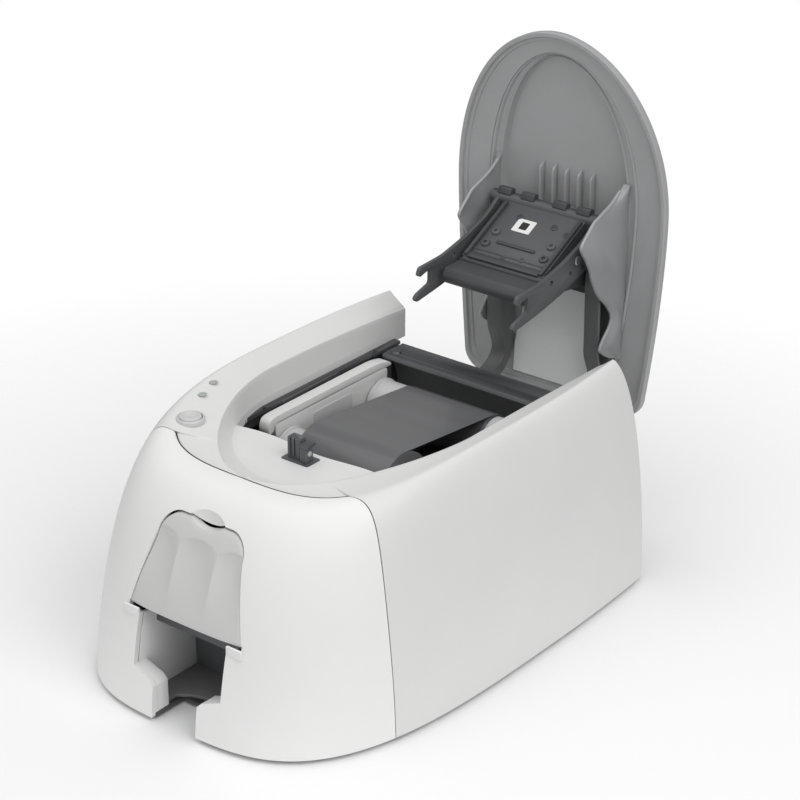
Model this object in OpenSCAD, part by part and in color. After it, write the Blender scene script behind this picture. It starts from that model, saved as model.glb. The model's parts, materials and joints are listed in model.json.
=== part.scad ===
// Desktop card printer with a rear-hinged lid, a drop-in ribbon cassette and a front card flap.
// X is across, Y runs from front (low) to rear (high), Z is up; the origin is under the middle
// of the base.  Inside the modules y is counted from the front edge of the base (see place()).

/* [Body] */
// Width of the body at its base
body_w = 205; // [190:1:246]
// Depth of the base
body_d = 276.5; // [262:0.5:330]
// Height of the top edge at the front
front_h = 121; // [118:0.5:130]
// Height of the top ledge at its highest
crown_h = 131; // [126:0.5:145]
// Height of the top ledge at the rear
rear_h = 130.5; // [126:0.5:135]
// Width across the shoulders, where the top ledge starts
shoulder_w = 164; // [150:1:186]
// How far the front face leans back from base to top
shoulder_run = 56; // [50:1:60]
// Thickness of the plastic shells
wall = 2.8; // [2:0.1:3.2]
// Height of the rubber feet below the base plate
foot_h = 1.6; // [1:0.1:4]

/* [Top opening] */
// Width of the top opening at its rim
open_w = 136; // [134.5:0.5:140]
// Height of the light deck in front of the ribbon bay
deck_z = 112; // [110:0.5:114]
// Front edge of the ribbon bay
bay_y = 115; // [110:0.5:118]

/* [Chassis] */
// Outer width of the metal chassis
chassis_w = 132; // [131:0.5:134]
// Top of the chassis walls
chassis_top = 108; // [106:0.5:109]
// Thickness of the chassis walls
sheet = 2.5; // [2:0.1:3]
// Height at which the card travels
card_z = 57; // [54:0.5:57.5]

/* [Ribbon] */
// Distance between the two spools
spool_pitch = 79; // [77:0.5:82]
// Seat of the supply spool, from the front edge
supply_y = 149; // [147:0.5:150]
// Height of both spools when seated
spool_z = 86; // [85:0.5:87]
// Width of the film
film_w = 60; // [50:1:61]
// Radius of the full film roll
film_r = 22; // [15:0.5:22.5]
// Radius of the film wound on the take-up spool
wound_r = 14.2; // [12.6:0.1:14.6]
// Slope of the slots that the cassette drops into, forward per unit of height
slot_lean = 0.25; // [0.1:0.01:0.3]

/* [Lid] */
// Width of the lid
lid_w = 142; // [139:0.5:146]
// Hinge axis from the front edge of the base
hinge_y = 273.5; // [270:0.5:274]
// Height of the hinge axis
hinge_z = 73.5; // [72:0.5:75]
// Radius of the two hinge pins
hinge_pin_r = 2.5; // [2:0.1:3]

/* [Card openings] */
// Width of the card outlet
outlet_w = 59; // [57:0.5:61]
// Lower edge of the card flap
flap_z = 58; // [57:0.5:60]
// Width of the card flap at its lower edge
flap_w = 75; // [70:0.5:78]
// Height of the card flap
flap_h = 50; // [44:0.5:51]

/* [Controls] */
// Diameter of the power button
button_d = 12; // [8:0.1:13]
// Travel of the power button
button_travel = 1.2; // [0.8:0.1:1.5]

/* [Rollers] */
// Radius of the card rollers
roller_r = 9; // [8.5:0.1:9]
// Radius of the roller shafts
shaft_r = 3; // [2.5:0.1:3]

/* [Hidden] */

$fn = 48;
TINY = 0.01;                     // overlap that keeps a cut clean
gap = 0.4;                       // clearance between neighbouring covers
run = 0.3;                       // clearance of a moving piece
run_fit = 0.05;                  // radial clearance of a shaft in its bore
pin_r = 1;                       // shafts of the small motors
BIG = 400;                       // longer than the whole printer

// colours
shell_c = "#e6e6e4";
dark_c = "#3c3d3f";
mid_c = "#58595b";
smoke_c = "#8e9092";
steel_c = "#b9bcc0";
rubber_c = "#2a2a2b";

// ---- outline of the body ------------------------------------------------------------------
flank_y = 190;                   // where the flanks are widest
crown_y = 155;                   // where the top ledge is highest
plan_n = 3.4;                    // squareness of the front, seen from above
skirt_z = 3;                     // lower edge of the shells
base_g = skirt_z / crown_h;
narrow = 0.03;                   // how much the flanks draw in towards the rear
rear_lean = 1.5;                 // how far the rear edge leans out at mid height

function crown_z(y) = y < crown_y
    ? crown_h - (crown_h - front_h) * pow((crown_y - y) / (crown_y - shoulder_run), 2)
    : crown_h - (crown_h - rear_h) * pow((y - crown_y) / (body_d - crown_y), 2);

// Skirt: u runs 0 (front middle) .. 1 (widest) .. 2 (rear), g runs 0 (floor) .. 1 (shoulder),
// inset moves the surface inwards.
lip = 1;                         // rise of the shoulder over the ledge
function skirt_fall(u, g) = let(w = pow(sin(90 * min(u, 1)), 2))
    pow(max(0, 1 - pow(g, 1.4 + 0.3 * w)), 1 / (2.3 - 0.3 * w));
function shoulder_y(u, inset = 0) = u <= 1
    ? flank_y - (flank_y - shoulder_run - inset) * pow(cos(90 * u), 2 / plan_n)
    : flank_y + (body_d - 3 - flank_y) * (u - 1);
function skirt_z_at(u, g, inset = 0) = (crown_z(shoulder_y(u)) + lip - inset) * g;
function skirt_side(u, g, inset = 0) =
    let(f = skirt_fall(u, g), z = skirt_z_at(u, g, inset),
        s = u < 1 ? pow(sin(90 * u), 2 / plan_n) : 1,
        c = u < 1 ? pow(cos(90 * u), 2 / plan_n) : 0,
        half = (shoulder_w + (body_w - shoulder_w) * f) / 2 - inset,
        y_top = flank_y - (flank_y - shoulder_run - inset) * c,
        y_base = flank_y - (flank_y - inset) * c,
        t = max(0, u - 1),
        y_rear = body_d + rear_lean * sin(180 * min(1, z / crown_h)) - 4 * pow(g, 8))
    u <= 1 ? [half * s, y_top + (y_base - y_top) * f, z]
           : [half * (1 - (narrow + 0.03 * g) * t * t), flank_y + (y_rear - flank_y) * t, z];
function mirror_u(u, p) = u < 0 ? [-p[0], p[1], p[2]] : p;
heights = [base_g, 0.12, 0.26, 0.4, 0.54, 0.66, 0.76, 0.84, 0.9, 0.945, 0.975, 0.993, 1];
stations = concat([for (i = [-8 : -1]) -1 + i / 8], [for (i = [-24 : 24]) i / 24],
    [for (i = [1 : 8]) 1 + i / 8]);

// Rim of the top opening and the foot of the bowl below it
rim_front = 60;
rim_mid = 160;
rim_drop = 1;                    // rim below the shoulder at the front
rim_dish = 3;                    // further drop at the sides
rim_fall = 3;                    // further drop towards the rear
foot_front = 78;
function ledge_z(y) = crown_z(y) - rim_drop - rim_dish * (y < crown_y
    ? sqrt(max(0, 1 - pow((crown_y - y) / (crown_y - rim_front), 2))) : 1)
    - (y < crown_y ? 0 : rim_fall * pow((y - crown_y) / (body_d - crown_y), 2));
function rim_pt(u) = let(a = 90 * min(u, 1), t = max(0, u - 1),
        x = (open_w / 2) * pow(sin(a), 2 / 1.8),
        y = rim_mid - (rim_mid - rim_front) * pow(cos(a), 2 / 1.8)
            + (body_d - 4 - rim_mid) * t)
    [x - 2 * t * t, y, ledge_z(y)];
function foot_pt(u) = let(a = 90 * min(u, 1), t = max(0, u - 1),
        y = rim_mid - (rim_mid - foot_front) * cos(a) + (body_d - 4 - rim_mid) * t)
    [(chassis_w / 2 + 0.6) * sin(a) - 0.5 * t, y, deck_z];

// Closed skin over a row of sections, each an outward path followed by its way back
module skin(secs) {
    p = len(secs[0]);
    s = len(secs);
    last = (s - 1) * p;
    polyhedron([for (q = secs) each q], concat(
        [for (i = [0 : s - 2]) for (j = [0 : p - 1])
            let(a = i * p + j, b = i * p + (j + 1) % p, c = b + p, d = a + p)
            each [[a, b, c], [a, c, d]]],
        [for (j = [0 : p / 2 - 2]) each [[j, p - 1 - j, p - 2 - j], [j, p - 2 - j, j + 1]]],
        [for (j = [0 : p / 2 - 2]) each [[last + j, last + p - 2 - j, last + p - 1 - j],
            [last + j, last + j + 1, last + p - 2 - j]]]));
}

// Closed skin over a row of rings, with a fan at each end
module ring_skin(rings) {
    n = len(rings[0]);
    s = len(rings);
    mid = function (r) [for (k = [0 : 2]) [for (p = r) p[k]] * [for (p = r) 1] / n];
    polyhedron(concat([for (r = rings) each r], [mid(rings[0]), mid(rings[s - 1])]), concat(
        [for (i = [0 : s - 2]) for (j = [0 : n - 1])
            let(a = i * n + j, b = i * n + (j + 1) % n, c = b + n, d = a + n)
            each [[a, c, b], [a, d, c]]],
        [for (j = [0 : n - 1]) [s * n, j, (j + 1) % n]],
        [for (j = [0 : n - 1]) [s * n + 1, (s - 1) * n + (j + 1) % n, (s - 1) * n + j]]));
}

module place() translate([0, -body_d / 2, 0]) children();
module both() { children(); mirror([1, 0, 0]) children(); }
// Rod along X from x0 to x1 at (y, z)
module rod(r, x0, x1, y, z) translate([x0, y, z]) rotate([0, 90, 0]) cylinder(r = r, h = x1 - x0);
// Profile drawn in (y, z), carried along X from x0 to x1
module across(x0, x1) translate([x0, 0, 0]) rotate([90, 0, 90]) linear_extrude(x1 - x0) children();
// Profile drawn in (x, z), carried along Y from y0 to y1
module deep(y0, y1) translate([0, y1, 0]) rotate([90, 0, 0]) linear_extrude(y1 - y0) children();
module block(x0, x1, y0, y1, z0, z1) translate([x0, y0, z0]) cube([x1 - x0, y1 - y0, z1 - z0]);

lip_t = 0.8;                     // thickness of the shell at its upper edge
function shell_in(g, inset) = min(inset, lip_t + (inset - lip_t) * 12 * (1 - g));
module skirt(inset0, inset1) skin([for (u = stations) concat(
    [for (g = heights) mirror_u(u, skirt_side(abs(u), g, inset0))],
    [for (i = [len(heights) - 1 : -1 : 0])
        mirror_u(u, skirt_side(abs(u), heights[i], shell_in(heights[i], inset1)))])]);

// ---- front panel and housing ---------------------------------------------------------------
seam_low = 62.3;                 // side seam at the floor
seam_high = 69.3;                // side seam at the shoulder
function seam_y(z) = seam_low + (seam_high - seam_low) * pow(z / front_h, 4);
module ahead_of_seam(shift = 0) across(-BIG / 2, BIG / 2)
    polygon(concat([[-BIG, -1], [seam_low + shift, -1]],
        [for (i = [4 : 12]) [seam_y(front_h * i / 12) + shift, front_h * i / 12]],
        [[seam_high + shift, BIG / 2], [-BIG, BIG / 2]]));

flap_top_w = 56;
flap_round = 12;
flap_sink = 0.9;                 // room for the upper edge to swing out
notch_w = 3.5;
notch_h = 4.4;
dish_r = 45;                     // sphere that hollows the finger dish above the flap
dish_depth = 1.9;
dish_z = 103.5;
function face_pt(z) = skirt_side(0, z / (crown_z(shoulder_run) + lip));
function face_dir(z) = let(d = face_pt(z + 1) - face_pt(z - 1)) [0, -d[2], d[1]] / norm(d);
function flap_outline(grow) = let(b = flap_w / 2 + grow, t = flap_top_w / 2 + grow,
        z1 = flap_z + flap_h + (grow > 0 ? grow : -flap_sink), r = flap_round + grow)
    concat([[-b, flap_z - grow * 3], [b, flap_z - grow * 3]],
        [for (a = [0 : 15 : 90]) [t - r + r * cos(a), z1 - r + r * sin(a)]],
        [for (a = [90 : 15 : 180]) [-t + r + r * cos(a), z1 - r + r * sin(a)]]);
thumb_w = 30;
tab_z = 23;
outlet_edge = 4;
dip_r = 20;                      // the flap's upper edge dips to dip_z in the middle
dip_z = 104;
module front_cuts() {
    difference() {
        polygon(flap_outline(gap));
        translate([0, dip_z + dip_r]) circle(r = dip_r - gap - flap_sink);
    }
    both() block2(flap_w / 2 - 3, flap_w / 2 + notch_w, flap_z - notch_h, flap_z + 1);
    block2(-outlet_w / 2, outlet_w / 2, tab_z + outlet_edge, flap_z + 1);
    polygon([[-thumb_w / 2, -1], [thumb_w / 2, -1], [thumb_w / 2, tab_z - 3],
        [thumb_w / 2 + 3, tab_z], [outlet_w / 2, tab_z + outlet_edge + 1],
        [-outlet_w / 2, tab_z + outlet_edge + 1], [-thumb_w / 2 - 3, tab_z],
        [-thumb_w / 2, tab_z - 3]]);
}
module block2(x0, x1, z0, z1) translate([x0, z0]) square([x1 - x0, z1 - z0]);

front_reach = 60;                // how far back the front cuts go
module front_panel() color(shell_c) place() difference() {
    intersection() {
        skirt(0, wall);
        ahead_of_seam(0);
    }
    deep(-1, front_reach) front_cuts();
    translate(face_pt(dish_z) + face_dir(dish_z) * (dish_r - dish_depth)) sphere(r = dish_r, $fn = 96);
    both() rod(flap_pin_r + run_fit, flap_w / 2 - 1, flap_w / 2 + 3.3, flap_axis_y, flap_axis_z);
    // room behind the face for the flap's lower corners as they swing up
    both() block(flap_w / 2 - 2, flap_w / 2 + 0.8, flap_axis_y - 0.4, flap_axis_y + 8,
        flap_z - 1, flap_axis_z + 5);
}

button_x = -60.5;
button_y = 85;
light_xy = [[-71, 106], [-75, 119]];
light_d = 3;
bore_gap = 0.5;
module bowl() skin([for (u = stations) let(v = abs(u),
        s = skirt_side(v, 1, lip_t + 0.3), r = rim_pt(v), f = foot_pt(v), m = (s + r) / 2 - [0, 0, 0.4],
        si = skirt_side(v, 0.94, wall + 0.4), drop = [0, 0, -wall],
        ri = r + [0, 0, -wall] + (v < 1 ? [1.5 * -sin(90 * v), -1.5 * cos(90 * v), 0] : [-0, 0, 0]))
    [for (q = [s, (s + m) / 2, m, r, (r * 2 + f) / 3, (r + f * 2) / 3, f,
        f + drop, (r + f * 2) / 3 + bowl_out(v), (r * 2 + f) / 3 + bowl_out(v), r + drop + bowl_out(v),
        m + drop, (si * 2 + m + drop) / 3, si]) mirror_u(u, q)]]);
function bowl_out(v) = let(a = 90 * min(v, 1)) [1.6 * sin(a), -1.6 * cos(a), -0.8];

module deck() translate([0, 0, deck_z - wall + 0.3]) linear_extrude(wall - 0.6) difference() {
    polygon(concat([for (i = [-20 : 20]) let(p = foot_pt(abs(i) / 20) + bowl_out(abs(i) / 20) / 2)
        [sign(i) * p[0], p[1]]],
        [[chassis_w / 2, bay_y + 60], [-chassis_w / 2, bay_y + 60]]));
    translate([-BIG / 2, bay_y]) square([BIG, BIG]);
    translate([sensor_x - sensor_w / 2 - gap, sensor_y - gap])
        square([sensor_w + 2 * gap, sensor_d + 2 * gap]);
}

module main_housing() color(shell_c) place() difference() {
    skirt(0, wall);
    ahead_of_seam(gap);
}
module top_deck() color(shell_c) place() difference() {
    union() {
        bowl();
        deck();
    }
    translate([button_x, button_y, chassis_top]) cylinder(d = button_d + 2 * bore_gap, h = BIG);
    for (p = light_xy) translate([p[0], p[1], chassis_top]) cylinder(d = light_d, h = BIG);
}

// ---- base ----------------------------------------------------------------------------------
base_t = 2.4;
base_in = wall + gap;
base_top = foot_h + base_t;
module base_outline(inset) polygon(concat(
    [for (i = [0 : 20]) let(p = skirt_side(i / 20, 0, inset)) [p[0], p[1]]],
    [for (t = [1 : 3]) let(p = skirt_side(1 + t / 3, 0, inset)) [p[0], p[1] - inset]],
    [for (t = [3 : -1 : 1]) let(p = skirt_side(1 + t / 3, 0, inset)) [-p[0], p[1] - inset]],
    [for (i = [20 : -1 : 1]) let(p = skirt_side(i / 20, 0, inset)) [-p[0], p[1]]]));
foot_r = 8;
foot_xy = [[-78, 68], [78, 68], [-78, 240], [78, 240], [0, body_d / 2]];
module base_plate() color(dark_c) place() difference() {
    union() {
        translate([0, 0, foot_h]) linear_extrude(base_t) difference() {
            base_outline(base_in);
            translate([-thumb_w / 2, -1]) square([thumb_w, 25]);
        }
        for (p = foot_xy) translate([p[0], p[1], foot_h]) cylinder(r = foot_r + 2, h = base_t + 1.5);
    }
    for (p = foot_xy) translate([p[0], p[1], -1]) cylinder(r = foot_r + 0.05, h = foot_h + base_t + 0.8);
    for (p = screw_xy) translate([p[0], p[1], 0]) {
        cylinder(r = 2.6, h = foot_h + 1.7);
        cylinder(r = 1.4, h = base_top + 1);
    }
}
module rubber_feet() color(rubber_c) place()
    for (p = foot_xy) translate([p[0], p[1], 0]) cylinder(r = foot_r, h = foot_h + base_t - 0.2);

// ---- rear panel and its sockets --------------------------------------------------------------
rear_t = 2.4;
rear_y = body_d - 1.5;
rear_top = 98;
rear_z = [for (i = [0 : 8]) base_top + gap + i / 8 * (rear_top - base_top - gap)];
module rear_outline(inset) let(e = [for (z = rear_z)
        [skirt_side(2, z / (crown_z(body_d) + lip), base_in)[0] - inset, z]])
    polygon(concat(e, [for (i = [8 : -1 : 0]) [-e[i][0], e[i][1]]]));
inlet_x = -48;
inlet_z = 30;
inlet_r = 5.5;
usb_x = 30;
usb_z = 30;
vent_n = 9;
module rear_panel() color(shell_c) place() difference() {
    union() {
        deep(rear_y - rear_t, rear_y) rear_outline(0);
        deep(rear_y - rear_t - 8, rear_y - rear_t + TINY) difference() {
            rear_outline(0);
            rear_outline(3);
        }
    }
    translate([inlet_x, rear_y - 10, inlet_z]) rotate([-90, 0, 0]) cylinder(r = inlet_r + 2.2, h = 20);
    block(usb_x - 7.5, usb_x + 7.5, rear_y - 10, rear_y + 10, usb_z - 7, usb_z + 7);
    for (i = [0 : vent_n - 1]) block(7 * (i - vent_n / 2) + 2, 7 * (i - vent_n / 2) + 5,
        rear_y - 10, rear_y + 10, 42, 54);
    both() block(arm_in - ear_t - 2, arm_out + ear_t + 2, rear_y - 10, rear_y + 10, 60, BIG);
}
module power_inlet() color(rubber_c) place() translate([inlet_x, rear_y, inlet_z])
    rotate([90, 0, 0]) {
        difference() {
            union() {
                cylinder(r = inlet_r + 2, h = 14);
                translate([0, 0, rear_t]) cylinder(r = inlet_r + 4, h = 1.6);
            }
            translate([0, 0, -1]) cylinder(r = inlet_r - 1.5, h = 11);
        }
        translate([0, 0, 1.5]) cylinder(r = 1, h = 10);
    }
module usb_port() color(steel_c) place() translate([usb_x, rear_y + 0.4, usb_z]) difference() {
    translate([-7.2, -16, -6.7]) cube([14.4, 16, 13.4]);
    translate([-5.4, -12, -5]) cube([10.8, 13, 9.6]);
}

// ---- chassis ---------------------------------------------------------------------------------
wall_x = chassis_w / 2 - sheet;  // inner face of the chassis walls
bay_rear = 262;
rail_w = 2.2;
bush_r = shaft_r + 2;
platen_y = supply_y + spool_pitch / 2;
shaft_z = card_z - roller_r;
feed_y = platen_y - 72;
pick_y = feed_y - 48;
takeup_y = supply_y + spool_pitch;
hub_shaft_r = 2.5;
module chassis_side() difference() {
    union() {
        across(wall_x, chassis_w / 2) polygon([[bay_y + 4.6, chassis_top], [bay_rear, chassis_top],
            [bay_rear, base_top], [pick_y - 14, base_top], [pick_y - 14, shaft_z + 12],
            [bay_y + 4.6, chassis_top - 18]]);
        block(wall_x - rail_w, wall_x + TINY, bay_y + 4.6, bay_rear, chassis_top - 2, chassis_top);
        block(wall_x - 14, wall_x + TINY, pick_y - 10, bay_rear, base_top, base_top + sheet);
        for (y = [bay_y + 12, bay_y + 30, bay_rear - 22])
            translate([wall_x - 1, y, chassis_top - TINY]) cylinder(d = 1.8, h = 2);
    }
    for (y = [platen_y, feed_y, pick_y]) rod(bush_r, wall_x - 1, chassis_w / 2 + 1, y, shaft_z);
    for (y = [supply_y, takeup_y]) block(wall_x - rail_w - 1, wall_x - 1.4,
        y - slot_lean * (chassis_top - spool_z) - core_r - 3, y - slot_lean * (chassis_top - spool_z)
        + core_r + 3, chassis_top - 5, chassis_top + 1);
    across(wall_x - 1, chassis_w / 2 + 1) polygon([[bay_y + 14, chassis_top - 8],
        [bay_y + 27, chassis_top - 8], [bay_y + 27, chassis_top - 26]]);
}
motor_y = platen_y + 13;
motor_z = shaft_z - 22;
module chassis_left() color(dark_c) place() difference() {
    mirror([1, 0, 0]) chassis_side();
    rod(hub_shaft_r + run_fit, -chassis_w / 2 - 1, -wall_x + 1, takeup_y, spool_z);
}
module chassis_right() color(dark_c) place() difference() {
    chassis_side();
    for (a = post_angles) rod(1.5, wall_x - 1, chassis_w / 2 + 1,
        motor_y + 17 * cos(a), motor_z + 17 * sin(a));
}

trough_r = 27;
bar_y = takeup_y + 13.5;
bar_d = 18.5;
module rear_crossbar() color(mid_c) place() {
    across(-wall_x + 5.5, wall_x - 5.5) difference() {
        union() {
            translate([bar_y, chassis_top - 2.5]) square([bar_d, 2.5]);
            translate([takeup_y, spool_z]) difference() {
                circle(r = trough_r + 2.4, $fn = 96);
                circle(r = trough_r, $fn = 96);
                translate([-BIG, -BIG / 2]) square([BIG + trough_r * 0.55, BIG]);
                translate([-BIG / 2, chassis_top - spool_z - 0.2]) square([BIG, BIG]);
            }
            translate([bar_y + bar_d - 2.5, chassis_top - 26]) square([2.5, 26]);
        }
    }
    both() block(wall_x - 5.5 - TINY, wall_x, bar_y + 8, bar_y + bar_d, chassis_top - 24, chassis_top - 2);
    both() translate([wall_x - 11, bar_y + 6, chassis_top - TINY]) cylinder(d = 5, h = 1.4);
}
low_y = 208;
module lower_crossbar() color(dark_c) place() {
    block(-wall_x, wall_x, low_y, low_y + 9, card_z + 3, card_z + 5.4);
    block(-wall_x, wall_x, low_y + 7, low_y + 9, card_z + 3, card_z + 8);
}

pinch_r = 3.5;
card_t = 0.8;
pinch_z = card_z + card_t + pinch_r;
track_half = 31;
track_front = 42;
track_rear = 246;
module card_track() color(dark_c) place() difference() {
    union() {
        block(-track_half, track_half, track_front, track_rear, card_z - 4, card_z - 1.6);
        both() block(27.4, 29.4, bay_y - 6, track_rear, card_z - 2, card_z + 1.6);
        both() across(27.4, 29.4) polygon([[feed_y - 4, card_z], [feed_y + 4, card_z],
            [feed_y + 3, pinch_z + 3], [feed_y - 3, pinch_z + 3]]);
        for (y = [tray_back + 3, bay_y + 6, track_rear - 7])
            both() block(22, 26, y, y + 4, base_top, card_z - 4 + TINY);
    }
    for (y = [pick_y, platen_y])
        block(-track_half - 1, track_half + 1, y - roller_r - 1, y + roller_r + 1, 0, BIG);
    block(-feed_half - 1, feed_half + 1, feed_y - roller_r - 1, feed_y + roller_r + 1, 0, card_z);
    both() rod(1.5 + run_fit, 26, 31, feed_y, pinch_z);
}
hopper_rear = 104;
module input_hopper() color(dark_c) place() difference() {
    union() {
        both() block(28, 30, 36, hopper_rear, card_z - 12, 105);
        block(-30, 30, hopper_rear - TINY, hopper_rear + 2, card_z + 2, 105);
        block(-30, 30, 24, track_front - 0.4, card_z - 12, card_z - 10);
        block(-30, 30, 22, 24, card_z - 12, card_z - 1);
    }
    block(-track_half - 1, track_half + 1, track_front - 0.4, hopper_rear + 4, 0, card_z - 0.8);
}
tray_back = 50;
module output_tray() color(dark_c) place() difference() {
    union() {
        block(-outlet_w / 2 - 2, outlet_w / 2 + 2, 6, tray_back + 2, base_top, base_top + 2);
        block(-outlet_w / 2 - 2, outlet_w / 2 + 2, tray_back, tray_back + 2, base_top, card_z - 15);
        both() block(outlet_w / 2, outlet_w / 2 + 2, 14, tray_back + 2, base_top, card_z - 15);
    }
    translate([0, 4, 0]) cylinder(r = 24, h = 20);
}

sensor_x = -3;
sensor_w = 18;
sensor_y = 100;
sensor_d = 11;
module ribbon_sensor() color(dark_c) place() translate([sensor_x, sensor_y, 0]) {
    block(-sensor_w / 2, sensor_w / 2, 0, sensor_d, deck_z - 4, deck_z + 0.4);
    block(-sensor_w / 2 + 3, -sensor_w / 2 + 11, 3, 8, deck_z, deck_z + 13);
    block(sensor_w / 2 - 5, sensor_w / 2 - 3, 3, 8, deck_z, deck_z + 8);
}

// V-shaped saddles that carry the ends of the spools
saddle_x = 54.6;
saddle_t = 3;
saddle_half = 17.5;
saddle_low = 21;
module saddle(y) {
    v = (core_r + run) * sqrt(2);
    across(saddle_x, saddle_x + saddle_t) polygon([[y - saddle_half, spool_z - 1.5],
        [y - v + 1.5, spool_z - 1.5], [y, spool_z - v], [y + v - 1.5, spool_z - 1.5],
        [y + saddle_half, spool_z - 1.5], [y + saddle_half - 7, spool_z - saddle_low],
        [y - saddle_half + 7, spool_z - saddle_low]]);
    block(saddle_x, wall_x, y - saddle_half + 7, y + saddle_half - 7, spool_z - saddle_low,
        spool_z - saddle_low + 2.5);
}
module spool_saddles() color(mid_c) place()
    both() for (y = [supply_y, takeup_y]) saddle(y);

module shaft_bushes() color("#d8c79a") place() both() for (y = [platen_y, feed_y, pick_y])
    difference() {
        union() {
            rod(bush_r - 0.02, wall_x - 1, chassis_w / 2 + 1, y, shaft_z);
            rod(bush_r + 1.5, wall_x - 1.5, wall_x, y, shaft_z);
        }
        rod(shaft_r + 0.05, wall_x - 3, chassis_w / 2 + 3, y, shaft_z);
    }

// ---- lid hinge -------------------------------------------------------------------------------
arm_in = 29;
arm_out = 39;
ear_t = 4;
barrel_r = 5.2;
frame_y = 263;
module hinge_bracket() color(dark_c) place() difference() {
    union() {
        block(-wall_x, wall_x, frame_y - 1, frame_y + 1.2, base_top, hinge_z - 9);
        both() for (x = [arm_in - ear_t - run, arm_out + run]) across(x, x + ear_t)
            polygon([[frame_y, base_top], [frame_y, hinge_z + 3], [hinge_y - 3, hinge_z + 5.5],
                [hinge_y + 2, hinge_z + 5.5], [hinge_y + 2, hinge_z - 7], [frame_y + 4, hinge_z - 12],
                [frame_y + 4, base_top]]);
    }
    both() rod(hinge_pin_r - 0.02, arm_in - 10, arm_out + 10, hinge_y, hinge_z);
    block(inlet_x - 12, inlet_x + 12, frame_y - 5, frame_y + 5, inlet_z - 12, inlet_z + 12);
    block(usb_x - 9, usb_x + 9, frame_y - 5, frame_y + 5, usb_z - 9, usb_z + 9);
}
module hinge_pins() color(steel_c) place()
    both() rod(hinge_pin_r - 0.02, arm_in - ear_t - run - 1, arm_out + ear_t + run + 1, hinge_y, hinge_z);

// ---- motors, belts and rollers ---------------------------------------------------------------
pulley_x = 69;
pulley_w = 5;
pulley_r = 8;
motor_pulley_r = 5;
belt_t = 1;
belt_x = pulley_x + 1;
belt_w = 3;
motor_r = 17;
module shaft_x(y, z, x0, x1) rod(shaft_r, x0, x1, y, z);
module pulley(r, y, z, bore) difference() {
    union() {
        rod(r, pulley_x, pulley_x + pulley_w, y, z);
        rod(r + 1.4, pulley_x, pulley_x + 0.8, y, z);
        rod(r + 1.4, pulley_x + pulley_w - 0.8, pulley_x + pulley_w, y, z);
    }
    rod(bore, pulley_x - 1, pulley_x + pulley_w + 1, y, z);
}
// Flat belt round circles listed as [y, z, r]
module belt(a, b) difference() {
    belt_body(a, b, belt_t + 0.1, 0);
    belt_body(a, b, 0.1, 1);
}
module belt_body(a, b, grow, over) across(belt_x - over * 1, belt_x + belt_w + over * 1) hull() {
    translate([a[0], a[1]]) circle(r = a[2] + grow, $fn = 32);
    translate([b[0], b[1]]) circle(r = b[2] + grow, $fn = 32);
}
module motor_belt() color(rubber_c) place() translate([6, 0, 0])
    belt([platen_y, shaft_z, pulley_r], [motor_y, motor_z, motor_pulley_r]);
module feed_belt() color(rubber_c) place()
    belt([platen_y, shaft_z, pulley_r], [pick_y, shaft_z, pulley_r]);
motor_face = 85.5;
post_angles = [-140, -60, 20];
module feed_motor() color(steel_c) place() {
    difference() {
        rod(motor_r, motor_face - 2.4, motor_face + 8, motor_y, motor_z);
        rod(pin_r + run_fit, motor_face - 4, motor_face + 2, motor_y, motor_z);
    }
}
module motor_pulley() color(steel_c) place() {
    translate([6, 0, 0]) pulley(motor_pulley_r, motor_y, motor_z, 1);
    rod(pin_r, pulley_x + 6, motor_face + 1, motor_y, motor_z);
}
module motor_bracket() color(dark_c) place() {
    difference() {
        rod(motor_r + 2, motor_face - 4.6, motor_face - 2.4, motor_y, motor_z);
        rod(6.5, motor_face - 10, motor_face, motor_y, motor_z);
    }
    for (a = post_angles) rod(1.5, wall_x, motor_face - 4.5, motor_y + 17 * cos(a),
        motor_z + 17 * sin(a));
    difference() {
        rod(13, gear_x - 4.4, gear_x - 2.2, pinion_y, pinion_z);
        rod(pin_r + 2, gear_x - 5, gear_x - 2, pinion_y, pinion_z);
    }
    for (a = [pinion_angle - 60 : 60 : pinion_angle + 60]) rod(1.5, gear_x - 2.3, -chassis_w / 2,
        pinion_y + 11 * cos(a), pinion_z + 11 * sin(a));
}
roller_half = 28;
module sleeve(r, y, z, half) difference() {
    rod(r, -half, half, y, z);
    rod(shaft_r, -half - 1, half + 1, y, z);
}
module roller_shaft(y, pulleys) {
    rod(shaft_r, -chassis_w / 2 - 3, chassis_w / 2 + 3 + pulleys * 6 + pulley_w, y, shaft_z);
    difference() {
        pulley(pulley_r, y, shaft_z, shaft_r - 0.5);
        rod(shaft_r - 0.5, 0, BIG, y, shaft_z);
    }
}
feed_half = roller_half - 8;
module platen_roller() color(rubber_c) place() sleeve(roller_r, platen_y, shaft_z, roller_half);
module platen_shaft() color(steel_c) place() {
    roller_shaft(platen_y, 1);
    translate([6, 0, 0]) pulley(pulley_r, platen_y, shaft_z, shaft_r - 0.5);
}
module feed_roller() color(rubber_c) place() sleeve(roller_r, feed_y, shaft_z, feed_half);
module feed_shaft() color(steel_c) place() roller_shaft(feed_y, 0);
module pick_roller() color(rubber_c) place() sleeve(roller_r, pick_y, shaft_z, 10);
module pick_shaft() color(steel_c) place() roller_shaft(pick_y, 0);
module pinch_roller() color(rubber_c) place() {
    rod(pinch_r, -26, 26, feed_y, pinch_z);
    rod(1.5, -29.4, 29.4, feed_y, pinch_z);
}

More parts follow.
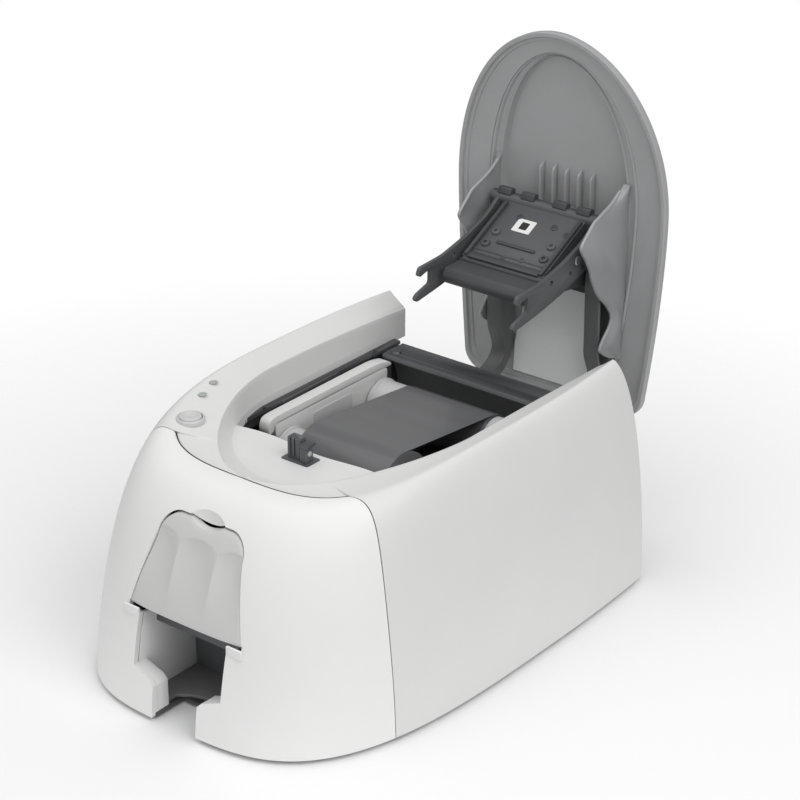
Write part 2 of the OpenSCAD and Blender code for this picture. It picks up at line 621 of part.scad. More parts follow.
// Spur gear with straight-sided teeth close to involutes
gear_m = 1;
hub_teeth = 36;
pinion_teeth = 16;
gear_x = -72;
gear_w = 4;
backlash = 0.12;
function inv(a) = tan(a) * 180 / PI - a;
module gear_2d(n) {
    rp = n * gear_m / 2;
    rb = rp * cos(20);
    radii = [for (k = [0 : 3]) max(rb + 0.02, rp - gear_m) + k / 3 * (rp + 0.8 * gear_m
        - max(rb + 0.02, rp - gear_m))];
    half = [for (r = radii) 90 / n - backlash * 180 / PI / rp + inv(20) - inv(acos(rb / r))];
    polygon([for (i = [0 : n - 1]) let(c = i * 360 / n) each concat(
        [(rp - 1.2 * gear_m) * [cos(c - 180 / n), sin(c - 180 / n)],
         (rp - 1.2 * gear_m) * [cos(c - half[0]), sin(c - half[0])]],
        [for (k = [0 : 3]) radii[k] * [cos(c - half[k]), sin(c - half[k])]],
        [for (k = [3 : -1 : 0]) radii[k] * [cos(c + half[k]), sin(c + half[k])]],
        [(rp - 1.2 * gear_m) * [cos(c + half[0]), sin(c + half[0])]])]);
}
hub_r = 10.5;
hub_face = wall_x - 5.6;
pinion_angle = -60;              // where the pinion sits round the hub gear
centre_d = (hub_teeth + pinion_teeth) * gear_m / 2;
pinion_y = takeup_y + centre_d * cos(pinion_angle);
pinion_z = spool_z + centre_d * sin(pinion_angle);
module drive_hub() color(rubber_c) place() {
    difference() {
        union() {
            rod(hub_r, -wall_x + 0.6, -hub_face, takeup_y, spool_z);
            for (a = [0 : 30 : 330]) rod(1, -wall_x + 0.6, -hub_face,
                takeup_y + hub_r * cos(a), spool_z + hub_r * sin(a));
        }
        for (a = [0 : 60 : 300]) rod(2.4, -wall_x + 2, -hub_face + 1,
            takeup_y + 6.4 * cos(a), spool_z + 6.4 * sin(a));
    }
    rod(hub_shaft_r, gear_x - 1, -wall_x + 0.7, takeup_y, spool_z);
}
module drive_gear() color("#d9d4c6") place() translate([gear_x, takeup_y, spool_z])
    rotate([90, 0, 90]) difference() {
        linear_extrude(gear_w) gear_2d(hub_teeth);
        translate([0, 0, -1]) cylinder(r = hub_shaft_r, h = gear_w + 2);
        for (a = [0 : 60 : 300]) rotate(a) translate([hub_teeth * gear_m / 4 + 1.5, 0, -1])
            cylinder(r = 2.6, h = gear_w + 2);
    }
module takeup_pinion() color("#c9ad6a") place() translate([gear_x, pinion_y, pinion_z]) {
    rotate([90, 0, 90]) linear_extrude(gear_w)
        rotate(180 + pinion_angle + (hub_mesh_turn + 180 / pinion_teeth)) gear_2d(pinion_teeth);
    rod(pin_r, -8, 1, 0, 0);
}
// turn that sets a pinion tooth into the gap of the gear it meets
hub_mesh_turn = (pinion_angle / (360 / hub_teeth) - floor(pinion_angle / (360 / hub_teeth)))
    * 360 / pinion_teeth;
module takeup_motor() color(steel_c) place() difference() {
    rod(9, gear_x - 18, gear_x - 4.4, pinion_y, pinion_z);
    rod(pin_r + run_fit, gear_x - 9, gear_x - 4, pinion_y, pinion_z);
}

// ---- electronics -----------------------------------------------------------------------------
board_z = base_top + 8;
screw_xy = [for (x = [-46, 46]) for (y = [134, 226]) [x, y]];
module circuit_board() color("#3f6b4a") place() {
    block(-52, 52, 128, 232, board_z, board_z + 1.6);
    for (p = screw_xy) translate([p[0], p[1], base_top]) difference() {
        cylinder(r = 3, h = board_z - base_top + TINY);
        translate([0, 0, -1]) cylinder(r = 1.35, h = board_z - base_top);
    }
    block(-30, -12, 160, 178, board_z + 1.5, board_z + 4);
    block(4, 14, 150, 160, board_z + 1.5, board_z + 4);
    for (i = [0 : 3]) translate([-40 + 11 * i, 206, board_z + 1.5]) cylinder(r = 4, h = 10);
    block(20, 44, 190, 200, board_z + 1.5, board_z + 8);
}

button_face = crown_z(button_y) + 1.6;
button_skirt = 3.6;
stem_len = 12;
switch_top = button_face - stem_len - 2;
module power_button() color("#d4d5d6") place() translate([button_x, button_y, 0]) {
    translate([0, 0, button_face - stem_len]) cylinder(d = button_d, h = stem_len - 0.8);
    translate([0, 0, button_face - 0.8 - TINY]) cylinder(d1 = button_d, d2 = button_d - 2, h = 0.8);
    translate([0, 0, button_face - stem_len - 0.6]) cylinder(d = button_d + 2.6, h = 1);
}
// stop ring and switch that the button rests on
module button_switch() color(dark_c) place() translate([button_x, button_y, 0]) {
    difference() {
        translate([0, 0, switch_top - 4.6]) cylinder(r = 11.2, h = 1.6);
        translate([0, 0, switch_top - 5]) cylinder(r = 1, h = 1);
    }
    translate([0, 0, switch_top - 3.1]) cylinder(r = 2.4, h = 3.1 - 0.5);
    for (a = [30 : 120 : 270]) rotate(a) translate([9.8, 0, switch_top - 4.6])
        cylinder(r = 1.2, h = button_skirt + 5);
}
module status_lights() color("#9fb7a4") place() for (p = light_xy)
    translate([p[0], p[1], crown_z(p[1]) - 5]) cylinder(d = light_d - 0.1, h = 5.6);

module screw(x, y, z) translate([x, y, z]) {
    cylinder(d = 5, h = 2);
    translate([0, 0, 2 - TINY]) cylinder(d = 2.6, h = 6);
}
module housing_screws() color(steel_c) place() {
    for (p = screw_xy) screw(p[0], p[1], foot_h - 0.4);
}

// ---- front flap ------------------------------------------------------------------------------
flap_axis_y = 13.2;
flap_axis_z = flap_z + 2;
flap_pin_r = 1.6;
module front_flap() color(shell_c) place() {
    difference() {
        intersection() {
            skirt(0.1, wall);
            deep(-1, front_reach) difference() {
                polygon(flap_outline(-0.1));
                translate([0, dip_z + dip_r]) circle(r = dip_r);
            }
        }
        block(-BIG, BIG, flap_axis_y + 1.6, BIG, 0, flap_z + 3);
    }
    both() hull() {
        rod(2, flap_w / 2 - 8, flap_w / 2 - 2.4, flap_axis_y, flap_axis_z);
        block(flap_w / 2 - 8, flap_w / 2 - 2.4, flap_axis_y - 1.2, flap_axis_y, flap_axis_z - 1,
            flap_axis_z + 6);
    }
    both() rod(flap_pin_r, flap_w / 2 - 3, flap_w / 2 + 3, flap_axis_y, flap_axis_z);
}

// ---- lid, drawn closed and turned open about the hinge ---------------------------------------
lid_front = 59.5;
lid_mid = 156;
lid_rear = 269;
lid_rear_w = 134;
lid_corner = 8;
lid_gap = 1.3;                   // rim of the lid above the rim of the opening
module opened() translate([0, hinge_y, hinge_z]) rotate([-90, 0, 0])
    translate([0, -hinge_y, -hinge_z]) children();
function lid_z(y) = ledge_z(max(y, rim_front)) + lid_gap;
// the raised step comes closer to the rim at the lid's front end than at its sides
function front_inset(i) = i < 5 ? i : i < band - 3 ? 5 + (i - 5) * 0.55
    : i < band + step_w ? front_inset(band - 3.001) + (i - band + 3) * 0.28
    : front_inset(band + step_w - 0.001) + i - band - step_w;
function lid_half(inset) = let(w = lid_w / 2 - inset, wr = lid_rear_w / 2 - inset,
        yf = lid_front + front_inset(inset), yr = lid_rear - inset, c = min(lid_corner, wr - 1))
    concat([for (i = [0 : 18]) [w * sin(5 * i), lid_mid - (lid_mid - yf) * cos(5 * i)]],
        [for (i = [1 : 5]) let(t = i / 5) [w + (wr - w) * t * t, lid_mid + (yr - c - lid_mid) * t]],
        [for (a = [30 : 30 : 90]) [wr - c + c * cos(a), yr - c + c * sin(a)]]);
function lid_ring(q) = let(h = lid_half(q[0]), n = len(h))
    [for (p = concat(h, [for (i = [n - 1 : -1 : 1]) [-h[i][0], h[i][1]]]))
        [p[0], p[1], lid_z(p[1]) + q[1]]];
band = 20;                       // flat band round the lid, outside the raised step
step_w = 8;
lid_rings = [[62, 10.4], [45, 9.8], [band + step_w + 1.5, 8.6], [band + step_w, 5.4], [band, 5],
    [band - 1.5, 3.6], [3.4, 2.6], [3, 0], [0, 0], [0, 4.6], [1.5, 5.8], [band - 3, 7.4],
    [band + step_w - 4, 9], [band + step_w, 11.6], [45, 12.8], [62, 13.4]];
module lid_shell() color(smoke_c) place() opened() {
    ring_skin([for (q = lid_rings) lid_ring(q)]);
    difference() {
        block(-58, 58, lid_rear - 3, lid_rear - 0.6, 102, lid_z(lid_rear) + 3);
        both() block(arm_in - 0.6, arm_out + 0.6, lid_rear - 4, lid_rear, 100, arm_z + 3);
    }
    for (i = [-2 : 2]) block(8.7 * i - 1, 8.7 * i + 1, 141, 165, lid_z(153) + 6, lid_z(153) + 10.8);
    both() for (y = [210, 242]) translate([(arm_in + arm_out) / 2, y, arm_z + arm_h])
        cylinder(r = 3.6, h = lid_z(y) + 9.6 - arm_z - arm_h);
}
arm_z = 123;                     // underside of the lid arms when the lid is closed
arm_h = 6;
module arm_line() {
    polygon([[200, arm_z], [252, arm_z], [262, arm_z - 5], [hinge_y - 4.6, arm_z - 16],
        [hinge_y - barrel_r, hinge_z], [hinge_y + barrel_r, hinge_z], [hinge_y + 4.6, arm_z - 14],
        [hinge_y, arm_z - 2], [lid_rear - 12, arm_z + 5], [252, arm_z + arm_h], [200, arm_z + arm_h]]);
    polygon(arm_flange(0));
    translate([hinge_y, hinge_z]) circle(r = barrel_r);
}
// the deeper stretch of the arm over the take-up spool
function arm_flange(t) = [[200 + t, arm_z - 17 + t], [229 - t / 2, arm_z - 17 + t],
    [244 - t, arm_z + 1], [207.2 + t, arm_z + 1], [207.2 + t, arm_z - 3.5 - t],
    [200 + t, arm_z - 3.5 - t]];
module lid_arms() color(dark_c) place() opened() both() difference() {
    across(arm_in, arm_out) arm_line();
    rod(hinge_pin_r + 0.05, arm_in - 1, arm_out + 1, hinge_y, hinge_z);
    across(arm_in + 2.4, arm_out + 1) offset(delta = -2) polygon([[206, arm_z - 4], [252, arm_z - 4],
        [262, arm_z - 9], [hinge_y - 6.6, arm_z - 18], [hinge_y - 6.6, hinge_z + 10],
        [hinge_y - 2, hinge_z + 10], [hinge_y - 1, arm_z - 14], [258, arm_z + 1], [206, arm_z + 3]]);
    across(arm_in + 2.4, arm_out + 1) polygon(arm_flange(2));
}
carrier_half = 27;
// The face of the carrier runs from face_a down to face_b, both (y, z) with the lid closed
face_a = [161, 117];
face_b = [183, 74];
face_dir2 = (face_b - face_a) / norm(face_b - face_a);
face_out = [face_dir2[1], -face_dir2[0]];
function on_face(t, h) = face_a + (face_b - face_a) * t + face_out * h;
module carrier_shape() {
    block(-arm_out, arm_out, 158, 207, 119.6, arm_z);
    across(-carrier_half, carrier_half) {
        polygon([on_face(0, 0), [163.4, 119.7], [183.3, 81], [183.3, 75], [182, 75.95]]);
        polygon([[157.6, 122], [157.6, 119], [161, 116.2], [163.4, 116.2], [165, 119.7], [165, 122]]);
    }
    both() across(carrier_half - 2, carrier_half) polygon([[163.4, 119.7], [180.4, 86.6],
        [190, 91], [197, 91], [200, 119.7]]);
    both() block(12, 18, 188, 198, 100, 119.7);
    for (x = [-30, -14, 8, 24]) block(x - 4.5, x + 4.5, 155, 158.1, 118.6, 122.6);
}
spring_r = 2.4;
spring_y = 193;
module head_carrier() color(mid_c) place() opened() difference() {
    carrier_shape();
    for (x = [-15, 15]) translate([x, spring_y, 91]) cylinder(r = spring_r + 0.2, h = 28.6);
}
fork_x = 32;
fork_t = 2.5;
module head_forks() color(dark_c) place() opened() both() across(fork_x, fork_x + fork_t)
    polygon([[160.5, 119.6], [160.4, 116.5], [168, 104], [175, 84], [platen_y - 9, shaft_z + 16],
        [platen_y - 8, shaft_z - 5], [platen_y - 4, shaft_z - 7], [platen_y - 2.6, shaft_z - 5],
        [platen_y - 4.8, shaft_z + 3.9], [platen_y + 3.8, shaft_z + 3.9],
        [platen_y + 7.2, shaft_z - 8], [platen_y + 9.5, shaft_z - 10], [platen_y + 11.5, shaft_z - 8],
        [platen_y + 8.5, shaft_z + 14], [192, 86], [186, 106], [182, 119.6]]);
head_gap = 0.4;
module print_head() color(steel_c) place() opened() across(-roller_half, roller_half)
    polygon([[platen_y - 1.2, card_z + head_gap], [platen_y + 1.2, card_z + head_gap],
        [platen_y + 5, card_z + 3], [platen_y + 7, 91], [platen_y + 2, 91],
        [platen_y - 5, 84], [platen_y - 4.5, card_z + 3]]);
module head_spring_bar() color(steel_c) place() opened() {
    for (x = [-15, 15]) translate([x, spring_y, 91]) cylinder(r = spring_r, h = 28.6);
}
// web that stands on the lid beside each arm; its free edge clears the supply spool
web_x = arm_out + 4.6;
web_t = 1.2;
web_front = 140;
web_rear = 245;
module lid_gussets() color(smoke_c) place() opened() both() across(web_x, web_x + web_t)
    polygon(concat([[140, 131], [147.5, 120], [151.5, 110], [154, 103], [157, 99.5], [161, 95],
        [163.7, 90.5], [166.5, 89.5], [175, 96], [182, 100], [189, 102], [200, 109], [208, 117],
        [218, 123], [224, 121.5], [229, 115], [234, 111.5], [239, 117], [243, 124]],
        [for (i = [6 : -1 : 0]) let(y = web_front + (web_rear - web_front) * i / 6)
            [y, lid_z(y) + 4.9]]));
module carrier_screws() color(steel_c) place() opened() for (x = [-19, 19])
    across(x - 2.4, x + 2.4) polygon([on_face(0.45, 0.02), on_face(0.55, 0.02), on_face(0.55, 1.4),
        on_face(0.45, 1.4)]);
module carrier_tag() color("white") place() opened() across(-11.5, 0.5)
    polygon([on_face(0.22, 0.02), on_face(0.42, 0.02), on_face(0.42, 0.4), on_face(0.22, 0.4)]);

// ---- ribbon cassette, seated ------------------------------------------------------------------
side_x = 50;
side_t = 3;
core_r = 12;
collar_r = 14;
ring_r = 12.4;
core_bore_r = 10.3;
end_x = 61;
tip_l = 3.2;                     // length of the rings pressed on both ends of the supply tube
takeup_left = hub_face - 0.4;
rail_front = supply_y - 15;
rail_rear = takeup_y + 12;
module cassette_plate() difference() {
    union() {
        // upper and lower rails
        block(side_x, side_x + 7, rail_front, rail_rear, spool_z + 17.5, spool_z + 23);
        block(side_x, side_x + 4, rail_front, rail_rear, spool_z - 20, spool_z - 16);
        // plate between the spools
        across(side_x, side_x + side_t) polygon([[supply_y - 6, spool_z + 18], [takeup_y + 6, spool_z + 18],
            [takeup_y - 8, spool_z - 17], [supply_y + 8, spool_z - 17]]);
        block(side_x, side_x + side_t, rail_front, rail_front + 4, spool_z - 17, spool_z + 18);
        block(side_x, side_x + side_t, rail_rear - 4, rail_rear, spool_z - 17, spool_z + 18);
        across(side_x, side_x + 8) polygon([[supply_y + 21, spool_z + 17.6], [takeup_y - 18.6, spool_z + 17.6],
            [takeup_y - 18.6, spool_z - 20], [supply_y + 44, spool_z - 26], [supply_y + 32, spool_z - 15]]);
    }
    for (y = [supply_y, takeup_y]) rod(core_r + 0.25, side_x - 1, side_x + 12, y, spool_z);
}
module cassette_side_left() color(shell_c) place() mirror([1, 0, 0]) cassette_plate();
module cassette_side_right() color(shell_c) place() cassette_plate();

module spool_tube(y, x0, x1) difference() {
    rod(core_r, x0, x1, y, spool_z);
    rod(core_bore_r, x0 - 1, x1 + 1, y, spool_z);
}
// rings that keep the tube between the side plates
module collars(y) difference() {
    for (x = [-side_x + 2, side_x - 3.2]) rod(collar_r, x, x + 1.2, y, spool_z);
    rod(core_r, -BIG, BIG, y, spool_z);
}
tooth_n = 24;
module supply_core() color("#d9dadb") place() spool_tube(supply_y, -end_x + tip_l, end_x - tip_l);
module supply_collars() color("#d9dadb") place() {
    collars(supply_y);
    spool_tube(supply_y, end_x - tip_l, end_x);
}
module takeup_collars() color("#d9dadb") place() collars(takeup_y);
module supply_wheel() color("#d9dadb") place() difference() {
    union() {
        rod(ring_r, -end_x, -end_x + tip_l, supply_y, spool_z);
        for (i = [0 : tooth_n - 1]) rod(0.8, -end_x, -end_x + tip_l,
            supply_y + ring_r * cos(i * 360 / tooth_n), spool_z + ring_r * sin(i * 360 / tooth_n));
    }
    rod(core_bore_r, -BIG, BIG, supply_y, spool_z);
}
module takeup_core() color("#d9dadb") place() spool_tube(takeup_y, -takeup_left, end_x);
module film_roll(r, y) difference() {
    rod(r, -film_w / 2, film_w / 2, y, spool_z);
    rod(core_r, -film_w, film_w, y, spool_z);
}
module supply_film() color("#5f6062") place() film_roll(film_r, supply_y);
module takeup_film() color("#5f6062") place() film_roll(wound_r, takeup_y);
// Film between the spools, tangent to both rolls
film_t = 0.25;
web_tilt = asin((film_r - wound_r) / spool_pitch);
module ribbon_film() color("#4b4c4e") place() across(-film_w / 2, film_w / 2) {
    n = [sin(web_tilt), cos(web_tilt)];
    a = [supply_y, spool_z] + n * (film_r + 0.35);
    b = [takeup_y, spool_z] + n * (wound_r + 0.35);
    polygon([a, b, b + n * film_t, a + n * film_t]);
}

base_plate();
rubber_feet();
front_panel();
main_housing();
top_deck();
rear_panel();
power_inlet();
usb_port();
chassis_left();
chassis_right();
rear_crossbar();
lower_crossbar();
card_track();
input_hopper();
output_tray();
ribbon_sensor();
spool_saddles();
shaft_bushes();
hinge_bracket();
hinge_pins();
feed_motor();
motor_bracket();
takeup_motor();
circuit_board();
button_switch();
status_lights();
housing_screws();
motor_belt();
feed_belt();
motor_pulley();
platen_roller();
platen_shaft();
feed_roller();
feed_shaft();
pinch_roller();
pick_roller();
pick_shaft();
drive_hub();
drive_gear();
takeup_pinion();
front_flap();
power_button();
lid_shell();
lid_arms();
lid_gussets();
head_carrier();
head_forks();
print_head();
head_spring_bar();
carrier_screws();
carrier_tag();
cassette_side_left();
cassette_side_right();
supply_core();
supply_collars();
supply_wheel();
supply_film();
takeup_core();
takeup_collars();
takeup_film();
ribbon_film();
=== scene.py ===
"""ID card printer with its lid up and a ribbon cassette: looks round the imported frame."""
import json
import math

import bmesh
import bpy
from mathutils import Matrix, Vector

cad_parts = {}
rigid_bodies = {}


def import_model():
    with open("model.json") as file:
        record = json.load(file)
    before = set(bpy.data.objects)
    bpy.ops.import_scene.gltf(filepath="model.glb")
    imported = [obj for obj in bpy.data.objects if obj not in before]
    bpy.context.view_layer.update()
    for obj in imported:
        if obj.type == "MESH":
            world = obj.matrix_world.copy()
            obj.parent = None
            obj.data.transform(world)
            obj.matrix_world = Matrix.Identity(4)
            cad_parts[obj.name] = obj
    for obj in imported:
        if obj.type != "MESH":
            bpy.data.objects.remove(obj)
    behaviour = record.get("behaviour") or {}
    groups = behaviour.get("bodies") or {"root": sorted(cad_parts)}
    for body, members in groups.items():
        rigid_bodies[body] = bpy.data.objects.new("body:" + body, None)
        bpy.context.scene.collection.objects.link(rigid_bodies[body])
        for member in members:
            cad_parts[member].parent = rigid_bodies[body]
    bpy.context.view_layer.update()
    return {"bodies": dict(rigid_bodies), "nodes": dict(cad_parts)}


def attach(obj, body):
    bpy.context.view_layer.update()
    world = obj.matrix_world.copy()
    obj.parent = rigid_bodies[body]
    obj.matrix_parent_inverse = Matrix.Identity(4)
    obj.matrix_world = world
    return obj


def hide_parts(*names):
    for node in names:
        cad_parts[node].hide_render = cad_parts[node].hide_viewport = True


for old in list(bpy.data.objects):
    bpy.data.objects.remove(old)
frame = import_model()
BODIES = frame["bodies"]

MM = 0.001
HALF_DEPTH = 138.25              # row Y = 0 lies this far behind the front edge of the base
HINGE = (273.5, 73.5)            # lid hinge axis, from the front edge and up
TAU = 2 * math.pi
SIDES = ((-1, "left"), (1, "right"))


def at(x, y, z):
    """Millimetres from the front edge of the base, in the frame's metres."""
    return (x * MM, (y - HALF_DEPTH) * MM, z * MM)


def up(x, y, z):
    """The same for a point of the closed lid, which stands open at rest."""
    return at(x, HINGE[0] + z - HINGE[1], HINGE[0] + HINGE[1] - y)


def lerp(a, b, t):
    return tuple(p + (q - p) * t for p, q in zip(a, b))


def bezier(a, b, c, t):
    return lerp(lerp(a, b, t), lerp(b, c, t), t)


def steps(n, lo=0.0, hi=1.0):
    return [lo + (hi - lo) * i / n for i in range(n + 1)]


def span(side, a, b):
    """The stretch from a to b on one side of the middle, low end first."""
    return sorted((side * a, side * b))


def turns(n):
    return steps(n, 0, TAU)[:-1]


def circle(a, b, r, n):
    return [(a + r * math.cos(t), b + r * math.sin(t)) for t in turns(n)]


def rect(a0, a1, b0, b1):
    return [(a0, b0), (a1, b0), (a1, b1), (a0, b1)]


# ---- materials ---------------------------------------------------------------------------------
GRAIN_DETAIL, PATCH_DETAIL = 3, 4
RAMP = (0.3, 0.7)
EDGE_LOW, EDGE_HIGH = 0.52, 0.6
WEAR_SHEEN_GAIN, WEAR_SHEEN_LIFT = 2.2, 0.05
RELIEF = 0.0002                  # metres
WHITE = (1, 1, 1, 1)


def feed(tree, node, **inputs):
    """Sets a shader node's inputs, named with _ for a space; another node's output is linked."""
    for name, value in inputs.items():
        socket = node.inputs[name.replace("_", " ")]
        if isinstance(value, (int, float, tuple)):
            socket.default_value = value
        else:
            tree.links.new(value, socket)
    return node


def knot(tree, kind, **inputs):
    return feed(tree, tree.nodes.new("ShaderNode" + kind), **inputs)


def blend(tree, factor, first, second, output):
    """Leads a mix of two shaders to the output node."""
    node = knot(tree, "MixShader", Fac=factor)
    tree.links.new(first, node.inputs[1])
    tree.links.new(second, node.inputs[2])
    tree.links.new(node.outputs["Shader"], tree.nodes[output].inputs["Surface"])


def surface(name, colour, rough=0.5, metal=0.0, grain=900, bump=0.05, tone=0.05, patch=22,
            stretch=(1, 1, 1), spread=0.08, alpha=1.0, coat=0.0, wear_and_sheen=0.0, ior=1.46):
    """Moulded plastic, film, rubber or metal: tone patches, a fine grain and edges lightened both as
    wear and as a painted highlight.
    """
    mat = bpy.data.materials.new(name)
    mat.use_nodes = True
    tree = mat.node_tree
    where = knot(tree, "Mapping", Scale=stretch,
                 Vector=knot(tree, "TexCoord").outputs["Object"]).outputs["Vector"]
    fine, broad = [knot(tree, "TexNoise", Scale=scale, Detail=detail, Vector=where).outputs["Fac"]
                   for scale, detail in ((grain, GRAIN_DETAIL), (patch, PATCH_DETAIL))]
    ramp = knot(tree, "ValToRGB", Fac=broad)
    for i, shift in enumerate((1 - tone, 1 + tone)):
        ramp.color_ramp.elements[i].position = RAMP[i]
        ramp.color_ramp.elements[i].color = (*[min(1.0, c * shift) for c in colour], 1)
    base = ramp.outputs["Color"]
    # edges lightened by pointiness: partly rubbed wear, partly a painted highlight along the edges
    if wear_and_sheen:
        reach = knot(tree, "MapRange", From_Min=EDGE_LOW, From_Max=EDGE_HIGH, To_Max=wear_and_sheen,
                     Value=knot(tree, "NewGeometry").outputs["Pointiness"])
        wear_sheen = (*[min(1.0, c * WEAR_SHEEN_GAIN + WEAR_SHEEN_LIFT) for c in colour], 1)
        base = knot(tree, "MixRGB", Fac=reach.outputs["Result"], Color1=base,
                    Color2=wear_sheen).outputs["Color"]
    polish = knot(tree, "MapRange", To_Min=max(0.04, rough - spread),
                  To_Max=min(1.0, rough + spread), Value=fine)
    relief = knot(tree, "Bump", Strength=bump, Distance=RELIEF, Height=fine)
    feed(tree, tree.nodes["Principled BSDF"], Base_Color=base, Roughness=polish.outputs["Result"],
         Normal=relief.outputs["Normal"], Metallic=metal, IOR=ior, Alpha=alpha, Coat_Weight=coat)
    return mat


# one plastic in two copies: the housing's darker tone is painted shade for its top, the front panel's
# lighter tone is painted light for its lit front
SHELL_PAINTED_SHADE = surface("shell_plastic_painted_shade", (0.755, 0.755, 0.75), 0.42, grain=2600, bump=0.10, tone=0.012)
PANEL_PAINTED_LIGHT = surface("panel_plastic_painted_light", (0.87, 0.87, 0.865), 0.44, grain=2600, bump=0.10, tone=0.012)
FLAP = surface("flap_plastic", (0.65, 0.65, 0.645), 0.40, grain=2600, bump=0.08, tone=0.012)
LINER = surface("liner_plastic", (0.86, 0.86, 0.86), 0.5, grain=1800, bump=0.12, tone=0.03)
# the edge lightening on the dark parts below is partly wear and partly a painted highlight
DARK = surface("chassis_plastic", (0.046, 0.047, 0.05), 0.46, grain=1600, bump=0.14, tone=0.12,
               wear_and_sheen=0.5)
MID = surface("carrier_plastic", (0.076, 0.078, 0.082), 0.44, grain=1600, bump=0.12, tone=0.1,
              wear_and_sheen=0.4)
BLACK = surface("black_plastic", (0.018, 0.018, 0.02), 0.5, grain=1600, bump=0.12, tone=0.1)
SMOKE = surface("lid_smoke", (0.43, 0.433, 0.44), 0.24, grain=700, bump=0.02, tone=0.04,
                alpha=0.86, coat=0.3)
SMOKE_THIN = surface("gusset_smoke", (0.42, 0.425, 0.43), 0.22, grain=700, bump=0.02, tone=0.05,
                     alpha=0.7, coat=0.4)
WINDOW_PAINTED_LIGHT = surface("window_painted_light", (0.93, 0.935, 0.94), 0.3, grain=700, bump=0.02, tone=0.03,
                 alpha=0.95)
DISH_PAINTED_SHADE = surface("dish_painted_shade", (0.30, 0.30, 0.30), 0.42, grain=2600, bump=0.08, tone=0.02)
FLOOR = surface("tray_plastic", (0.19, 0.19, 0.192), 0.5, grain=1800, bump=0.12, tone=0.05)
TROUGH_PAINTED_LIGHT = surface("trough_painted_light", (0.17, 0.172, 0.176), 0.46, grain=1600, bump=0.12, tone=0.08)
ARM = surface("arm_plastic", (0.125, 0.127, 0.13), 0.4, grain=1600, bump=0.12, tone=0.08, wear_and_sheen=0.3)
FRAME_WHITE = surface("cassette_plastic", (0.70, 0.70, 0.695), 0.4, grain=2200, bump=0.1,
                      tone=0.02)
CORE = surface("core_plastic", (0.55, 0.55, 0.55), 0.36, grain=2200, bump=0.08, tone=0.03)
FILM = surface("ribbon_film", (0.125, 0.126, 0.13), 0.30, grain=500, bump=0.03, tone=0.06,
               patch=30, stretch=(0.4, 3, 3), spread=0.05, coat=0.15)
FILM_WOUND = surface("wound_film", (0.085, 0.086, 0.09), 0.34, grain=900, bump=0.05, tone=0.08,
                     stretch=(0.5, 4, 4))
STEEL = surface("steel", (0.58, 0.59, 0.60), 0.3, metal=1.0, grain=700, bump=0.06, tone=0.04,
                stretch=(1, 8, 8))
RUBBER = surface("rubber", (0.02, 0.02, 0.021), 0.75, grain=1300, bump=0.25, tone=0.15)
BRASS = surface("brass", (0.62, 0.50, 0.28), 0.35, metal=1.0, grain=800, bump=0.06)
BOARD = surface("board", (0.05, 0.14, 0.07), 0.4, grain=500, bump=0.1, tone=0.15)
GEAR = surface("gear_plastic", (0.62, 0.6, 0.54), 0.4, grain=1500, bump=0.06)
TAG = surface("tag_paper", (0.86, 0.86, 0.85), 0.6, grain=1500, bump=0.06, tone=0.02)
LENS = surface("lens", (0.42, 0.45, 0.43), 0.18, grain=900, bump=0.02, coat=0.4)
BUTTON = surface("button_plastic", (0.62, 0.62, 0.62), 0.34, grain=2400, bump=0.06, tone=0.02)

CARRIED = {                      # CAD nodes that keep their shape, and their material
    DARK: ["base_plate", "button_switch"],
    RUBBER: ["rubber_feet", "motor_belt", "feed_belt", "platen_roller", "feed_roller",
             "pinch_roller", "pick_roller"],
    BLACK: ["power_inlet"],
    STEEL: ["usb_port", "hinge_pins", "feed_motor", "takeup_motor", "housing_screws",
            "motor_pulley", "platen_shaft", "feed_shaft", "pick_shaft", "head_spring_bar"],
    BRASS: ["shaft_bushes"],
    BOARD: ["circuit_board"],
    GEAR: ["drive_gear", "takeup_pinion"],
}
for mat, names in CARRIED.items():
    for name in names:
        mesh = frame["nodes"][name].data
        mesh.materials.clear()
        mesh.materials.append(mat)


# ---- building helpers ----------------------------------------------------------------------------
MERGE, FINE, COARSE = 1e-6, 1e-7, 2e-5       # metres within which points become one
LATHE_ANGLE = 30


def linked(name, mesh):
    obj = bpy.data.objects.new(name, mesh)
    bpy.context.collection.objects.link(obj)
    return obj


def solid(name, verts, faces, merge):
    """Object from metres, with doubled points merged and its faces turned outwards."""
    mesh = bpy.data.meshes.new(name)
    mesh.from_pydata([Vector(v) for v in verts], [], faces)
    bm = bmesh.new()
    bm.from_mesh(mesh)
    bmesh.ops.remove_doubles(bm, verts=bm.verts, dist=merge)
    bmesh.ops.dissolve_degenerate(bm, edges=bm.edges, dist=FINE)
    bmesh.ops.recalc_face_normals(bm, faces=bm.faces)
    bm.to_mesh(mesh)
    bm.free()
    return linked(name, mesh)


def smooth(obj, angle):
    mesh = obj.data
    mesh.polygons.foreach_set("use_smooth", [True] * len(mesh.polygons))
    mesh.set_sharp_from_angle(angle=math.radians(angle))
    mesh.update()


def add(name, verts, faces, body, mat, nodes, angle=32, merge=MERGE):
    """New piece in place of one CAD node or more, with smooth faces that break at sharp edges."""
    obj = solid(name, verts, faces, merge)
    obj.data.materials.append(mat)
    smooth(obj, angle)
    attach(obj, body)
    for node in [nodes] if isinstance(nodes, str) else nodes:
        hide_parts(node)
    return obj


def apply(obj, angle=32):
    """Turns the object's modifiers into its mesh."""
    graph = bpy.context.evaluated_depsgraph_get()
    mesh = bpy.data.meshes.new_from_object(obj.evaluated_get(graph), depsgraph=graph)
    obj.modifiers.clear()
    old = obj.data
    obj.data = mesh
    bpy.data.meshes.remove(old)
    smooth(obj, angle)
    return obj


